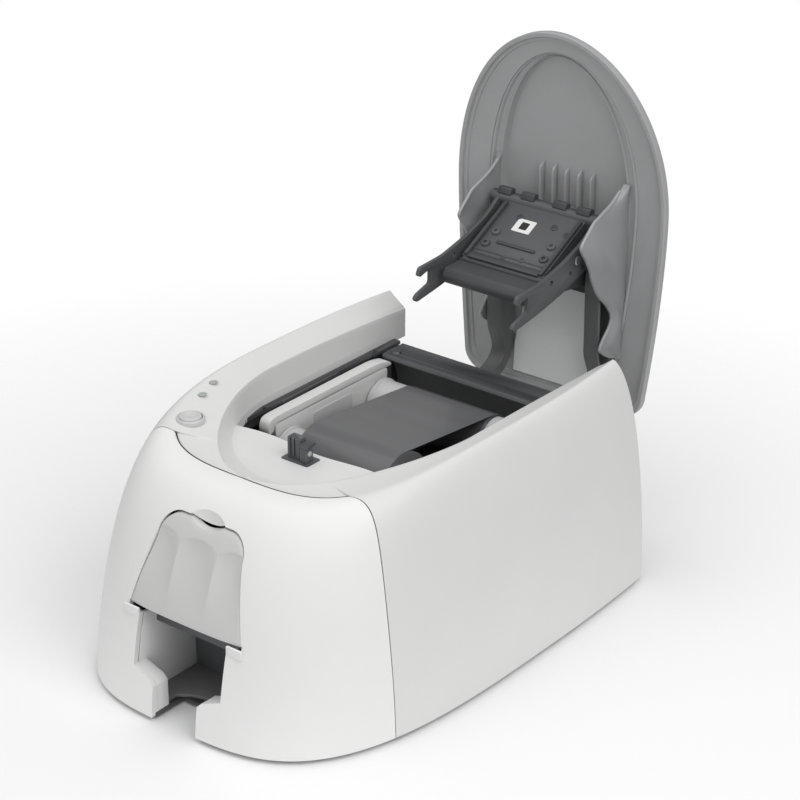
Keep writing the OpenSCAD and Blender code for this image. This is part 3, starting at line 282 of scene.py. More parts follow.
def carve(obj, cutters):
    for cutter in cutters:
        mod = obj.modifiers.new("cut", "BOOLEAN")
        mod.operation = "DIFFERENCE"
        mod.solver = "EXACT"
        mod.object = cutter
    apply(obj)
    for cutter in cutters:
        mesh = cutter.data
        bpy.data.objects.remove(cutter)
        bpy.data.meshes.remove(mesh)
    return obj


def soften(obj, width, segments=2, limit=35, angle=40):
    mod = obj.modifiers.new("soft", "BEVEL")
    mod.width = width * MM
    mod.segments = segments
    mod.limit_method = "ANGLE"
    mod.angle_limit = math.radians(limit)
    mod.use_clamp_overlap = True
    return apply(obj, angle)


def thicken(obj, depth, angle=32, offset=-1):
    mod = obj.modifiers.new("depth", "SOLIDIFY")
    mod.thickness = depth * MM
    mod.offset = offset
    return apply(obj, angle)


def recolour(obj, mat, chosen):
    """Gives mat to the faces for which chosen(face) holds."""
    obj.data.materials.append(mat)
    for face in obj.data.polygons:
        if chosen(face):
            face.material_index = len(obj.data.materials) - 1


def net(n, m, ring=True, loop=False):
    """Faces on n rows of m points; ring closes each row, loop joins the last row to the first."""
    return [(i * m + j, i * m + (j + 1) % m, (i + 1) % n * m + (j + 1) % m, (i + 1) % n * m + j)
            for i in range(n if loop else n - 1) for j in range(m if ring else m - 1)]


def sheet_grid(rows):
    """Verts and faces of a row-by-row grid."""
    return [p for row in rows for p in row], net(len(rows), len(rows[0]), ring=False)


def two_skins(front, back):
    """Verts and faces of a closed piece between two grids of the same size."""
    n, m = len(front), len(front[0])
    verts, faces = sheet_grid(front)
    k = len(verts)
    more, more_faces = sheet_grid(back)
    faces += [tuple(i + k for i in f) for f in more_faces]
    rim = list(range(m)) + [i * m + m - 1 for i in range(1, n)] \
        + [(n - 1) * m + j for j in range(m - 2, -1, -1)] + [i * m for i in range(n - 2, 0, -1)]
    faces += [(a, b, b + k, a + k) for a, b in zip(rim, rim[1:] + rim[:1])]
    return verts + more, faces


def loft(rings, caps=2, loop=False):
    """Verts and faces through closed rings; caps closes the last ring (1) or both ends (2)."""
    n, m = len(rings), len(rings[0])
    ends = [tuple(range((n - 1) * m, n * m)), tuple(range(m))][:caps]
    return [p for ring in rings for p in ring], net(n, m, loop=loop) + ends[::-1]


def skin(name, rings, body, mat, nodes, caps=2, loop=False, angle=32, merge=MERGE):
    return add(name, *loft(rings, caps, loop), body, mat, nodes, angle, merge)


def along_x(a, b, c):            # outline in (y, z), carried along x
    return c, a, b


def along_y(a, b, c):            # outline in (x, z), carried along y
    return a, c, b


def along_z(a, b, c):            # outline in (x, y), carried along z
    return a, b, c


def prism(points, lo, hi, order, place):
    """Verts and faces of a flat outline carried from lo to hi; order puts (a, b, c) into x, y, z."""
    n = len(points)
    return [place(*order(a, b, c)) for c in (lo, hi) for a, b in points], \
        [tuple(range(n)), tuple(range(2 * n - 1, n - 1, -1))] + net(2, n)


def tool(points, lo, hi, order=along_y, place=at):
    """Cutter for carve()."""
    return solid("tool", *prism(points, lo, hi, order, place), FINE)


def round_corners(points, radius, n=5):
    """The outline with each corner rounded by a quadratic curve."""
    out = []
    k = len(points)
    for i, p in enumerate(points):
        r = radius[i] if isinstance(radius, (list, tuple)) else radius
        a, b = points[i - 1], points[(i + 1) % k]
        la, lb = math.dist(p, a), math.dist(p, b)
        ra, rb = min(r, la * 0.48), min(r, lb * 0.48)
        if ra < 0.05 or rb < 0.05:
            out.append(p)
            continue
        start, end = lerp(p, a, ra / la), lerp(p, b, rb / lb)
        out += [bezier(start, p, end, t) for t in steps(n)]
    return out


def slab(name, points, lo, hi, mat, node, body="printer_body", order=along_x, place=at, soft=0.4,
         radius=None):
    """Outline carried from lo to hi, with rounded edges and, with a radius, rounded corners."""
    points = round_corners(points, radius) if radius else points
    return soften(add(name, *prism(points, lo, hi, order, place), body, mat, node), soft)


def lathe(name, profile, y, z, body, mat, nodes, place=at, n=96, wave=None):
    """Closed profile of (x, radius) turned about a line along x at (y, z)."""
    rings = []
    for x, r in profile:
        reach = [(a, r + (wave(x, a) if wave else 0)) for a in turns(n)]
        rings.append([place(x, y + q * math.cos(a), z + q * math.sin(a)) for a, q in reach])
    return skin(name, rings, body, mat, nodes, 0, True, LATHE_ANGLE)


def turned(name, profile, x, y, body, mat, node, oval=1.0, n=96, turn=0.0, caps=2):
    """Profile of (radius, z) turned about an upright axis; without caps it closes on itself."""
    c, s = math.cos(turn), math.sin(turn)
    rings = []
    for r, z in profile:
        flat = [(r * math.cos(a), r * oval * math.sin(a)) for a in turns(n)]
        rings.append([at(x + p * c - q * s, y + p * s + q * c, z) for p, q in flat])
    return skin(name, rings, body, mat, node, caps, not caps)


def copy_node(node, body, mat, soft):
    """A piece in place of a CAD node of the same shape, with its edges rounded."""
    name = f"{node}_moulded"
    bm = bmesh.new()
    bm.from_mesh(frame["nodes"][node].data)
    bmesh.ops.remove_doubles(bm, verts=bm.verts, dist=MERGE)
    bmesh.ops.dissolve_limit(bm, angle_limit=math.radians(1.0), verts=bm.verts, edges=bm.edges)
    mesh = bpy.data.meshes.new(name)
    bm.to_mesh(mesh)
    bm.free()
    obj = linked(name, mesh)
    mesh.materials.append(mat)
    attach(obj, body)
    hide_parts(node)
    return soften(obj, soft, limit=40)


def bar(name, path, widths, body, mat, node, place=up, n=20, power=2.6):
    """Rounded bar: path of centre points, widths (half a, half b) with their two directions."""
    rings = []
    for i, p in enumerate(path):
        wa, wb, da, db = widths[i] if isinstance(widths, list) else widths
        ring = []
        for a in turns(n):
            ca, sa = [math.copysign(abs(c) ** (2 / power), c) * w
                      for c, w in ((math.cos(a), wa), (math.sin(a), wb))]
            ring.append(place(*(Vector(p) + Vector(da) * ca + Vector(db) * sa)))
        rings.append(ring)
    return skin(name, rings, body, mat, node, angle=45)


# ---- outline of the body -------------------------------------------------------------------------
BODY_W, BODY_D = 205, 276.5
FRONT_H, CROWN_H, REAR_H = 121, 131, 130.5
SHOULDER_W, SHOULDER_RUN = 164, 56
FLANK_Y, CROWN_Y = 190, 155
PLAN = 2 / 3.4
BASE_Z = 3
BASE_G = BASE_Z / CROWN_H
WALL = 2.6
LIP = 1.0
SEAM_LOW, SEAM_HIGH = 62.3, 69.3
SEAM_GAP, BROW_GAP = 0.5, 1.5
BROW_IN, BROW_RISE = 0.9, 0.3


def crown_z(y):
    if y < CROWN_Y:
        return CROWN_H - (CROWN_H - FRONT_H) * ((CROWN_Y - y) / (CROWN_Y - SHOULDER_RUN)) ** 2
    return CROWN_H - (CROWN_H - REAR_H) * ((y - CROWN_Y) / (BODY_D - CROWN_Y)) ** 2


def fall(u, g):
    w = math.sin(math.pi / 2 * min(u, 1)) ** 2
    return max(0.0, 1 - max(0.0, g) ** (1.4 + 0.3 * w)) ** (1 / (2.3 - 0.3 * w))


def shoulder_y(u, inset=0.0):
    if u <= 1:
        return FLANK_Y - (FLANK_Y - SHOULDER_RUN - inset) * math.cos(math.pi / 2 * u) ** PLAN
    return FLANK_Y + (BODY_D - 3 - FLANK_Y) * (u - 1)


def skirt(u, g, inset=0.0):
    """Point of the body's side: u 0 front, 1 widest, 2 rear; g 0 floor, 1 shoulder."""
    side = -1 if u < 0 else 1
    u = abs(u)
    f = fall(u, g)
    z = (crown_z(shoulder_y(u, inset)) + LIP - inset) * g
    s = math.sin(math.pi / 2 * u) ** PLAN if u < 1 else 1.0
    c = math.cos(math.pi / 2 * u) ** PLAN if u < 1 else 0.0
    half = (SHOULDER_W + (BODY_W - SHOULDER_W) * f) / 2 - inset
    if u <= 1:
        y_top = FLANK_Y - (FLANK_Y - SHOULDER_RUN - inset) * c
        y_base = FLANK_Y - (FLANK_Y - inset) * c
        return (side * half * s, y_top + (y_base - y_top) * f, z)
    t = u - 1
    y_rear = BODY_D + 1.5 * math.sin(math.pi * min(1, z / CROWN_H)) - 4 * g ** 8
    return (side * half * (1 - (0.03 + 0.03 * g) * t * t), FLANK_Y + (y_rear - FLANK_Y) * t, z)


def bisect(test, lo, hi, n=40):
    for _ in range(n):
        mid = (lo + hi) / 2
        lo, hi = (mid, hi) if test(mid) else (lo, mid)
    return (lo + hi) / 2


def seam_u(g, inset=0.0, shift=0.0):
    """Where the side seam crosses height g."""
    def ahead(u):
        p = skirt(u, g, inset)
        return p[1] < SEAM_LOW + (SEAM_HIGH - SEAM_LOW) * (p[2] / FRONT_H) ** 4 + shift
    return bisect(ahead, 0.0, 1.0)


def face_y(x, z, inset=0.0):
    """Depth of the front face at (x, z)."""
    def short(u):
        g = z / (crown_z(shoulder_y(u, inset)) + LIP - inset)
        return skirt(u, g, inset)[0] < abs(x)
    u = bisect(short, 0.0, 0.999)
    return skirt(u, z / (crown_z(shoulder_y(u, inset)) + LIP - inset), inset)[1]


def levels(n):
    """Heights from the base to the shoulder, closer together at the brow."""
    return [BASE_G + (1 - BASE_G) * (1 - (1 - t) ** 2.2) for t in steps(n)]


# ---- front panel ---------------------------------------------------------------------------------
FLAP_Z, FLAP_TOP, FLAP_SINK = 58, 108, 0.9
FLAP_HALF, FLAP_HALF_TOP, FLAP_ROUND = 37.5, 28, 12
DIP_Z, DIP_R = 104, 20
OUTLET_HALF, TAB_HALF, TAB_Z, OUTLET_EDGE = 29.5, 15, 23, 4
NOTCH_W, NOTCH_H = 0.4, 3.8
NOTCH_BACK = 9


def flap_outline(grow):
    b, t = FLAP_HALF + grow, FLAP_HALF_TOP + grow
    top = FLAP_TOP + (grow if grow > 0 else grow - FLAP_SINK)
    r = FLAP_ROUND + grow
    arc = [(t - r + r * math.cos(a), top - r + r * math.sin(a)) for a in steps(12, 0, math.pi / 2)]
    return [(b, FLAP_Z - 3 * max(0, grow))] + arc


def top_edge(grow):
    """Right half of the flap's upper edge, from its side to the middle of the dip."""
    edge = flap_outline(grow)[1:]
    r = DIP_R - (0.4 + FLAP_SINK if grow > 0 else 0)
    mid_z = DIP_Z + DIP_R
    top = edge[-1][1]
    reach = math.sqrt(max(0.0, r * r - (mid_z - top) ** 2))
    edge += [(x, top) for x in steps(4, edge[-1][0], reach) if x < edge[-1][0] and x > reach]
    edge += [(x, mid_z - math.sqrt(r * r - x * x)) for x in steps(10, reach, 0)]
    return edge


def mirrored(half):
    """Closed outline from its right half, which runs up from the bottom."""
    return half + [(-x, z) for x, z in reversed(half) if abs(x) > 1e-6]


DISH_R, DISH_DEPTH, DISH_Z = 24, 5.2, 101
DISH_EDGE, DISH_BACK = 0.25, 20  # a face of the dish is this near the ball, and no further back
BACKING, BACKING_R = 3.4, 19
CUT_FRONT, CUT_BACK = -5, 60
N_FRONT, N_INNER, N_ROUND = 54, 26, 180      # the panel's grid: rows outside and inside, columns


def dish_backed(p):
    """The shell is thicker behind the finger dish above the flap."""
    near = math.dist((p[0], p[2]), (0, DIP_Z)) / BACKING_R
    return (p[0], p[1] + BACKING * max(0.0, 1 - near * near), p[2])


rows = []
for g in levels(N_FRONT):
    us = seam_u(g)
    rows.append([at(*skirt(u, g)) for u in steps(N_ROUND, -us, us)])
verts, faces = sheet_grid(rows)
rows = []
for g in reversed(levels(N_INNER)):
    inset = min(WALL + 0.2, 0.8 + (WALL - 0.6) * 12 * (1 - g))
    us = seam_u(g, inset)
    rows.append([at(*dish_backed(skirt(u, g, inset))) for u in steps(N_ROUND, -us, us)])
k, m = len(verts), N_ROUND + 1
more, more_faces = sheet_grid(rows)
verts += more
faces += [tuple(i + k for i in f) for f in more_faces]
for a, b in ((0, k + N_INNER * m), (N_FRONT * m, k)):        # lower and upper rim
    faces += [(a + j, a + j + 1, b + j + 1, b + j) for j in range(m - 1)]
for end in (0, m - 1):                                       # the two seams
    faces.append(tuple([i * m + end for i in range(N_FRONT + 1)]
                       + [k + i * m + end for i in range(N_INNER + 1)]))
front_shell = add("front_shell", verts, faces, "printer_body", PANEL_PAINTED_LIGHT, "front_panel", merge=FINE)
outlet = mirrored([(TAB_HALF, -2), (TAB_HALF, TAB_Z - 3), (TAB_HALF + 3, TAB_Z),
                   (OUTLET_HALF, TAB_Z + OUTLET_EDGE), (OUTLET_HALF, FLAP_Z - NOTCH_H),
                   (FLAP_HALF + NOTCH_W, FLAP_Z - NOTCH_H + NOTCH_W),
                   (FLAP_HALF + NOTCH_W, FLAP_Z + 1)])
window = mirrored([(FLAP_HALF + 0.4, FLAP_Z - 1.2)] + top_edge(0.4))
low, high = skirt(0, 0.8), skirt(0, 0.9)
slope = Vector((0, low[2] - high[2], high[1] - low[1])).normalized()
dish_mid = Vector((0, face_y(0, DISH_Z), DISH_Z)) + slope * (DISH_R - DISH_DEPTH)
dish_mid = Vector(at(*dish_mid))
dish = bpy.data.meshes.new("dish")
bm = bmesh.new()
bmesh.ops.create_uvsphere(bm, u_segments=96, v_segments=64, radius=DISH_R * MM)
bmesh.ops.translate(bm, verts=bm.verts, vec=dish_mid)
bm.to_mesh(dish)
bm.free()
carve(front_shell, [tool(window, CUT_FRONT, CUT_BACK), tool(outlet, CUT_FRONT, CUT_BACK),
                    linked("dish", dish)])
# the faces of the finger dish get a dark grey: painted shade for the hollow
recolour(front_shell, DISH_PAINTED_SHADE, lambda face: face.center.y < at(0, DISH_BACK, 0)[1]
         and abs((face.center - dish_mid).length - DISH_R * MM) < DISH_EDGE * MM)

# ---- housing with its ledge, bowl and deck ---------------------------------------------------------
RIM_FRONT, RIM_MID, OPEN_HALF = 60, 160, 68
FOOT_FRONT, DECK_Z, CHASSIS_HALF = 78, 112, 66
CHASSIS_TOP = 108


def ledge_z(y):
    z = crown_z(y) - 1
    if y < CROWN_Y:
        return z - 3 * math.sqrt(max(0.0, 1 - ((CROWN_Y - y) / (CROWN_Y - RIM_FRONT)) ** 2))
    return z - 3 - 3 * ((y - CROWN_Y) / (BODY_D - CROWN_Y)) ** 2


def rim(u):
    a, t = math.pi / 2 * min(u, 1), max(0.0, u - 1)
    y = RIM_MID - (RIM_MID - RIM_FRONT) * max(0.0, math.cos(a)) ** (2 / 1.8) \
        + (BODY_D - 4 - RIM_MID) * t
    return (OPEN_HALF * math.sin(a) ** (2 / 1.8) - 2 * t * t, y, ledge_z(y))


def foot(u):
    a, t = math.pi / 2 * min(u, 1), max(0.0, u - 1)
    y = RIM_MID - (RIM_MID - FOOT_FRONT) * math.cos(a) + (BODY_D - 4 - RIM_MID) * t
    return ((CHASSIS_HALF + 0.6) * math.sin(a) - 0.5 * t, y, DECK_Z)


def deck_edge(x):
    """Wavy rear edge of the deck."""
    return 116.2 - 1.6 * math.cos(x / 11) - 1.0 * (abs(x) / 60) ** 2


US = seam_u(1.0)
DECK_U = bisect(lambda u: foot(u)[1] < deck_edge(foot(u)[0]), 0.0, 1.0)
N_TOP, N_WALL, N_DECK = 8, 10, 6


def top_path(u, front):
    v = abs(u)
    s, r, f = skirt(v, 1, BROW_GAP if front else 0.0), rim(v), foot(v)
    m = ((s[0] + r[0]) / 2, (s[1] + r[1]) / 2, (s[2] + r[2]) / 2 - 0.8)
    out = [bezier(s, m, r, t) for t in steps(N_TOP)]
    away = Vector((r[0] - s[0], r[1] - s[1], 0))
    away = away.normalized() if away.length else Vector((0, 1, 0))
    edge = Vector(r)
    out[-1] = tuple(edge - away * 1.0)
    out.append(tuple(edge - away * 0.25 - Vector((0, 0, 0.3))))
    wall_top = edge + away * 0.05 - Vector((0, 0, 1.1))
    low = Vector(f)
    bend = low * 0.86 + wall_top * 0.14
    bend.z = low.z + 0.5
    out += [bezier(tuple(wall_top), tuple(bend), f, t) for t in steps(N_WALL)]
    if v <= DECK_U:
        end = deck_edge(f[0])
        out += [(f[0], f[1] + (end - f[1]) * t, DECK_Z) for t in steps(N_DECK)[1:]]
        out.append((f[0], end, DECK_Z - 1.5))
    else:
        drop = DECK_Z - CHASSIS_TOP + 1.5
        out += [(f[0], f[1], DECK_Z - drop * t) for t in steps(N_DECK)[1:]]
        out.append((f[0], f[1], DECK_Z - drop - 0.5))
    return [(-x if u < 0 else x, y, z) for x, y, z in out]


G_ROWS = levels(N_FRONT)
T_COLS = steps(110)
HOUSING_US = [seam_u(g, 0, SEAM_GAP) for g in G_ROWS]
front_us = steps(130, -US, US)
rear_us = [HOUSING_US[-1] + (2 - HOUSING_US[-1]) * t for t in T_COLS]
columns = [(-u, False) for u in reversed(rear_us)] + [(u, True) for u in front_us] \
    + [(u, False) for u in rear_us]
rows = list(zip(*[[at(*p) for p in top_path(u, front)] for u, front in columns]))
verts, faces = sheet_grid(rows)
for side in (-1, 1):
    grid = [[at(*skirt(side * (us + (2 - us) * t), g)) for t in T_COLS]
            for g, us in zip(G_ROWS, HOUSING_US)]
    more, more_faces = sheet_grid(grid)
    faces += [tuple(i + len(verts) for i in f) for f in more_faces]
    verts += more
housing = add("housing_shell", verts, faces, "printer_body", SHELL_PAINTED_SHADE, ["main_housing", "top_deck"],
              angle=40, merge=COARSE)
# the outer side faces outwards
out_sum = sum(p.normal.x * p.center.x for p in housing.data.polygons if abs(p.center.x) > 0.09)
if out_sum < 0:
    housing.data.flip_normals()
thicken(housing, WALL, 40)

# dark line of the joint between the front panel and the housing: a black strip laid in the gap as
# painted shadow
bar("brow_joint_painted_shade", [(x, y, z + BROW_RISE) for x, y, z in
                   (skirt(u, 1, BROW_IN) for u in steps(130, -US, US))],
    (0.32, 0.32, (0, 1, 0), (0, 0, 1)), "printer_body", BLACK, "front_panel", place=at, n=8, power=2)

# ---- card flap --------------------------------------------------------------------------------------
SCOOP_DEPTH, SCOOP_TOP, SCOOP_LOW = 2.3, 99.5, 63
FLAP_WALL, FLAP_GAP, FLAP_BEND = 3.3, 0.1, 0.45
FLAP_SOFT_Z, FLAP_SOFT_X = 22, 40     # the border is one part in this many of the flap
SCOOPS = [(-23, 10.5), (0, 12.5), (23, 10.5)]    # middle and half width of each scoop


def scoop(x, z):
    """Depth of the hollows in the flap."""
    t = (z - SCOOP_LOW) / (SCOOP_TOP - SCOOP_LOW)
    deep = 0.0
    for mid, half in SCOOPS:
        q = (x - mid) / half
        if abs(q) < 1:
            arch = SCOOP_TOP - 3.0 * q * q
            tt = (z - SCOOP_LOW) / (arch - SCOOP_LOW)
            if 0 < tt < 1:
                lobe = 1 - q * q
                deep = max(deep, lobe * math.sin(math.pi * tt ** 1.8) ** 0.75)
    return SCOOP_DEPTH * deep if 0 < t < 1.2 else 0.0


full_edge = mirrored(top_edge(-FLAP_GAP))
lengths = [0.0]
for p, q in zip(full_edge, full_edge[1:]):
    lengths.append(lengths[-1] + math.dist(p, q))


def edge_at(s):
    want = s * lengths[-1]
    for i in range(len(lengths) - 1):
        if lengths[i + 1] >= want:
            t = (want - lengths[i]) / (lengths[i + 1] - lengths[i])
            return lerp(full_edge[i], full_edge[i + 1], t)
    return full_edge[-1]


N_ACROSS, N_UP = 120, 84
outer, inner = [], []
for t in steps(N_UP):
    outer.append([])
    inner.append([])
    for s in steps(N_ACROSS):
        low = ((FLAP_HALF - FLAP_GAP) * (1 - 2 * s), FLAP_Z + 0.2)
        x, z = lerp(low, edge_at(s), t)
        border = min(t * FLAP_SOFT_Z, (1 - t) * FLAP_SOFT_Z, s * FLAP_SOFT_X, (1 - s) * FLAP_SOFT_X, 1.0)
        drop = FLAP_GAP + scoop(x, z) + FLAP_BEND * (1 - border) ** 2
        outer[-1].append(at(x, face_y(x, z) + drop, z))
        inner[-1].append(at(x, face_y(x, z, FLAP_WALL), z))
add("flap_panel", *two_skins(outer, inner), "flap", FLAP, "front_flap", angle=22)
for side, tag in SIDES:
    slab(f"flap_knuckle_{tag}", [(12.8, 58.2), (15.4, 58.2), (15.4, 61.6), (14.8, 65), (13.4, 65)],
         *span(side, FLAP_HALF - 8, FLAP_HALF - 2.4), FLAP, "front_flap", "flap", soft=0.3, radius=0.8)

# ---- power button and lights ----------------------------------------------------------------------
BUTTON_XY, BUTTON_R = (-60.5, 85), 6.0
BUTTON_Z = crown_z(BUTTON_XY[1]) + 1.6
# profiles of (radius, height), the first two from the button's radius and top
BEZEL = [(0.55, -3.2), (0.55, -0.95), (0.8, -0.6), (1.3, -0.7), (1.75, -1.3), (1.8, -3.2)]
CAP = [(1.3, -12.6), (1.3, -11.6), (0, -11.6), (0, -0.9), (-0.3, -0.3), (-0.9, 0), (-1.5, -0.05),
       (-1.9, -0.45), (-2.3, -0.5), (-2.7, -0.2), (-3.6, -0.35), (-5.2, -0.6), (-5.8, -0.6)]
LIGHT = [(1.42, -5), (1.42, 0.2), (2.3, 0.1), (2.5, 0.45), (2.1, 0.75), (1.5, 0.6), (1.3, 0.25),
         (0.9, 0.55), (0.3, 0.62)]
for name, shape, body, node, caps in (("button_bezel", BEZEL, "printer_body", "top_deck", 0),
                                      ("button_cap", CAP, "button", "power_button", 2)):
    turned(name, [(BUTTON_R + r, BUTTON_Z + z) for r, z in shape], *BUTTON_XY, body, BUTTON, node,
           caps=caps)
for i, (x, y) in enumerate([(-71, 106), (-75, 119)]):
    turned(f"light_ring_{i + 1}", [(r, crown_z(y) + z) for r, z in LIGHT], x, y, "printer_body",
           LENS, "status_lights", oval=0.8, n=48, turn=0.9)

# ---- card outlet ------------------------------------------------------------------------------------
TRAY_BACK, TRAY_BASE, FLOOR_Z, TRAY_WALL = 50, 4, 6, 2
THUMB_R, THUMB_HALF = 24, 17     # round cut in the front of the tray's floor
WALL_IN, WALL_OUT = OUTLET_HALF + 0.1, OUTLET_HALF + TRAY_WALL
TAB_LOW, TAB_TOP = 4.2, TAB_Z - 3.4


def tray(name, points, lo, hi, mat, order=along_y, soft=0.2):
    slab(name, points, lo, hi, mat, "output_tray", order=order, soft=soft)


tray("tray_floor", [(WALL_OUT, TRAY_BACK + TRAY_WALL), (-WALL_OUT, TRAY_BACK + TRAY_WALL),
                    (-WALL_OUT, 7), (-THUMB_HALF, 6.5)]
     + [(x, 4 + math.sqrt(THUMB_R ** 2 - x * x)) for x in steps(20, -THUMB_HALF, THUMB_HALF)]
     + [(THUMB_HALF, 6.5), (WALL_OUT, 7)], TRAY_BASE, FLOOR_Z, FLOOR, along_z, 0.3)
tray("tray_back", rect(-WALL_OUT, WALL_OUT, TRAY_BASE, 42), TRAY_BACK, TRAY_BACK + TRAY_WALL, MID)
for side, tag in SIDES:
    tray(f"tray_wall_{tag}", [(8, 4), (TRAY_BACK + 2, 4), (TRAY_BACK + 2, 50), (13.5, 53.5), (10, 40),
                              (7, 20)], *span(side, WALL_IN, WALL_OUT), LINER, along_x)
    tray(f"notch_back_{tag}", rect(side * WALL_IN, side * (FLAP_HALF + 2), FLAP_Z - NOTCH_H - 2,
                                   FLAP_Z - 0.6), NOTCH_BACK, NOTCH_BACK + 1.4, LINER)
    tray(f"tray_fill_{tag}", rect(side * (TAB_HALF + 0.06), side * (TAB_HALF + 3), TAB_LOW,
                                  TAB_TOP), 2.8, 6.4, PANEL_PAINTED_LIGHT)
    lip = [(TAB_HALF + 0.05, TAB_LOW), (TAB_HALF + 0.05, TAB_TOP), (TAB_HALF + 2.6, TAB_Z - 0.6),
           (OUTLET_HALF, TAB_Z + OUTLET_EDGE - 0.6), (OUTLET_HALF + 1.6, TAB_Z + OUTLET_EDGE),
           (OUTLET_HALF + 1.6, TAB_LOW)]
    tray(f"tray_tab_{tag}", [(side * x, z) for x, z in lip], 5.5, 13.5, PANEL_PAINTED_LIGHT, soft=0.5)

# ---- inside of the printer -----------------------------------------------------------------------
for node, mat, soft in (("chassis_left", DARK, 0.35), ("chassis_right", DARK, 0.35),
                        ("lower_crossbar", DARK, 0.4), ("card_track", DARK, 0.3),
                        ("input_hopper", DARK, 0.3), ("spool_saddles", DARK, 0.4),
                        ("hinge_bracket", DARK, 0.35), ("motor_bracket", DARK, 0.3),
                        ("rear_panel", SHELL_PAINTED_SHADE, 0.5)):
    copy_node(node, "printer_body", mat, soft)
copy_node("drive_hub", "hub", BLACK, 0.3)
copy_node("print_head", "lid", DARK, 0.4)
# the crossbar's faces that look forward get a lighter grey: painted light on the trough's face
recolour(copy_node("rear_crossbar", "printer_body", DARK, 0.6), TROUGH_PAINTED_LIGHT,
         lambda face: face.normal.y < -0.25 and abs(face.normal.z) < 0.95)


def sensor(name, points, lo, hi, mat, radius=None, order=along_z, soft=0.5):
    return slab(f"sensor_{name}", points, lo, hi, mat, "ribbon_sensor", order=order, soft=soft,
                radius=radius)


sensor("base", rect(-12, 6, 100, 111), 108, 112.6, DARK, 1.2, soft=0.3)
tower = sensor("tower", rect(-9.4, -1, 102.4, 108.2), 112.3, 124.6, MID, 0.8)
carve(tower, [tool(rect(x, x + 0.8, 114, 126), 100, 103.2) for x in (-7.2, -4.6)])
sensor("block", rect(-0.4, 4, 101.6, 107.6), 112.3, 121.5, MID, 0.7)
sensor("roof", [(101.0, 121.2), (108.6, 121.2), (108.6, 123), (103, 123)], -1.2, 5.0, DARK,
       order=along_x, soft=0.4)
lathe("sensor_eye", [(4, 0.1), (4, 1.5), (4.35, 1.4), (4.6, 0.9), (4.65, 0.1)], 104.6, 117.5,
      "printer_body", LENS, "ribbon_sensor", n=32)

# ---- lid shell -----------------------------------------------------------------------------------
LID_HALF, LID_FRONT, LID_MID, LID_REAR = 71, 59.5, 156, 277.5
LID_REAR_HALF, LID_CORNER, LID_GAP = 63, 14, 1.3
FRONT_SLOPES = [(0, 1.0), (5, 0.55), (17, 0.28), (28, 1.0)]  # inset from which each slope holds


def lid_z(y):
    return ledge_z(min(max(y, RIM_FRONT), 269)) + LID_GAP


def front_inset(inset):
    """The raised step comes closer to the rim at the lid's front end than at its sides."""
    ends = [start for start, slope in FRONT_SLOPES[1:]] + [math.inf]
    return sum(slope * max(0, min(inset, end) - start)
               for (start, slope), end in zip(FRONT_SLOPES, ends))


def lid_outline(inset):
    w, wr = LID_HALF - inset, LID_REAR_HALF - inset
    front, rear = LID_FRONT + front_inset(inset), LID_REAR - inset
    c = min(LID_CORNER, wr - 1)
    half = [(w * math.sin(a), LID_MID - (LID_MID - front) * math.cos(a))
            for a in steps(40, 0, math.pi / 2)]
    half += [(w + (wr - w) * t ** 1.6, LID_MID + (rear - c - LID_MID) * t) for t in steps(24)[1:]]
    half += [(wr - c + c * math.cos(a), rear - c + c * math.sin(a))
             for a in steps(9, 0, math.pi / 2)[1:]]
    return mirrored(half)


# (inset, height) from the middle of the inner face round the rim to the middle of the outer one
LID_INNER = [(62, 10.6), (45, 10.0), (36, 9.5), (30.4, 8.9), (28.8, 8.3), (28.2, 7.4), (28, 5.0),
             (27.6, 4.2), (26.8, 4.0), (26.2, 4.3), (25.8, 5.2), (22.8, 5.0), (22.4, 4.2), (21.8, 3.5),
             (21.0, 3.3), (20.4, 3.6), (20.0, 4.2), (19.6, 3.7), (10, 3.2),
             (5.4, 2.8), (5.0, 2.0), (4.2, 1.8), (3.4, 1.7), (3.0, 1.2), (2.9, 0.4), (2.5, 0)]
LID_OUTER = [(0.5, 0), (0, 0.5), (0, 4.0), (0.5, 5.0), (1.6, 5.8), (9, 6.7), (17, 7.4), (21.5, 8.3),
             (24, 9.4), (26, 10.9), (28, 11.6), (36, 12.3), (45, 12.8), (62, 13.4)]
skin("lid_tray", [[up(x, y, lid_z(y) + dz) for x, y in lid_outline(inset)]
                  for inset, dz in LID_INNER + LID_OUTER], "lid", SMOKE, "lid_shell", angle=30)

RIB_PITCH, RIB_Y, RIB_RUN = 8.7, 141, 27
for i in range(5):
    path, size = [], []
    for t in steps(16):
        y = RIB_Y + RIB_RUN * t
        grow = min(1.0, math.sqrt(max(0.0, 1 - (1 - min(1, t * 6)) ** 2)))
        path.append((RIB_PITCH * (i - 2), y, lid_z(y) + 10.4 - 2.4 * grow))
        size.append((1.1 * max(0.3, grow), 2.6 * max(0.15, grow), (1, 0, 0), (0, 0, 1)))
    bar(f"lid_rib_{i + 1}", path, size, "lid", SMOKE, "lid_shell")

# lighter pane behind the arms, painted light for the brightness seen through the smoked lid; it comes
# forward over the band at the lid's rear end
PANE_HALF, PANE_T = 28, 0.5
PANE_LINE = [(166, 9.0), (236, 9.0), (246, 4.6), (254, 2.7), (271, 2.4)]
rows = [[up(x, y, lid_z(y) + h) for x in (-PANE_HALF, PANE_HALF)] for y, h in PANE_LINE]
thicken(add("lid_pane_painted_light", *sheet_grid(rows), "lid", WINDOW_PAINTED_LIGHT, "lid_shell", merge=FINE), PANE_T)


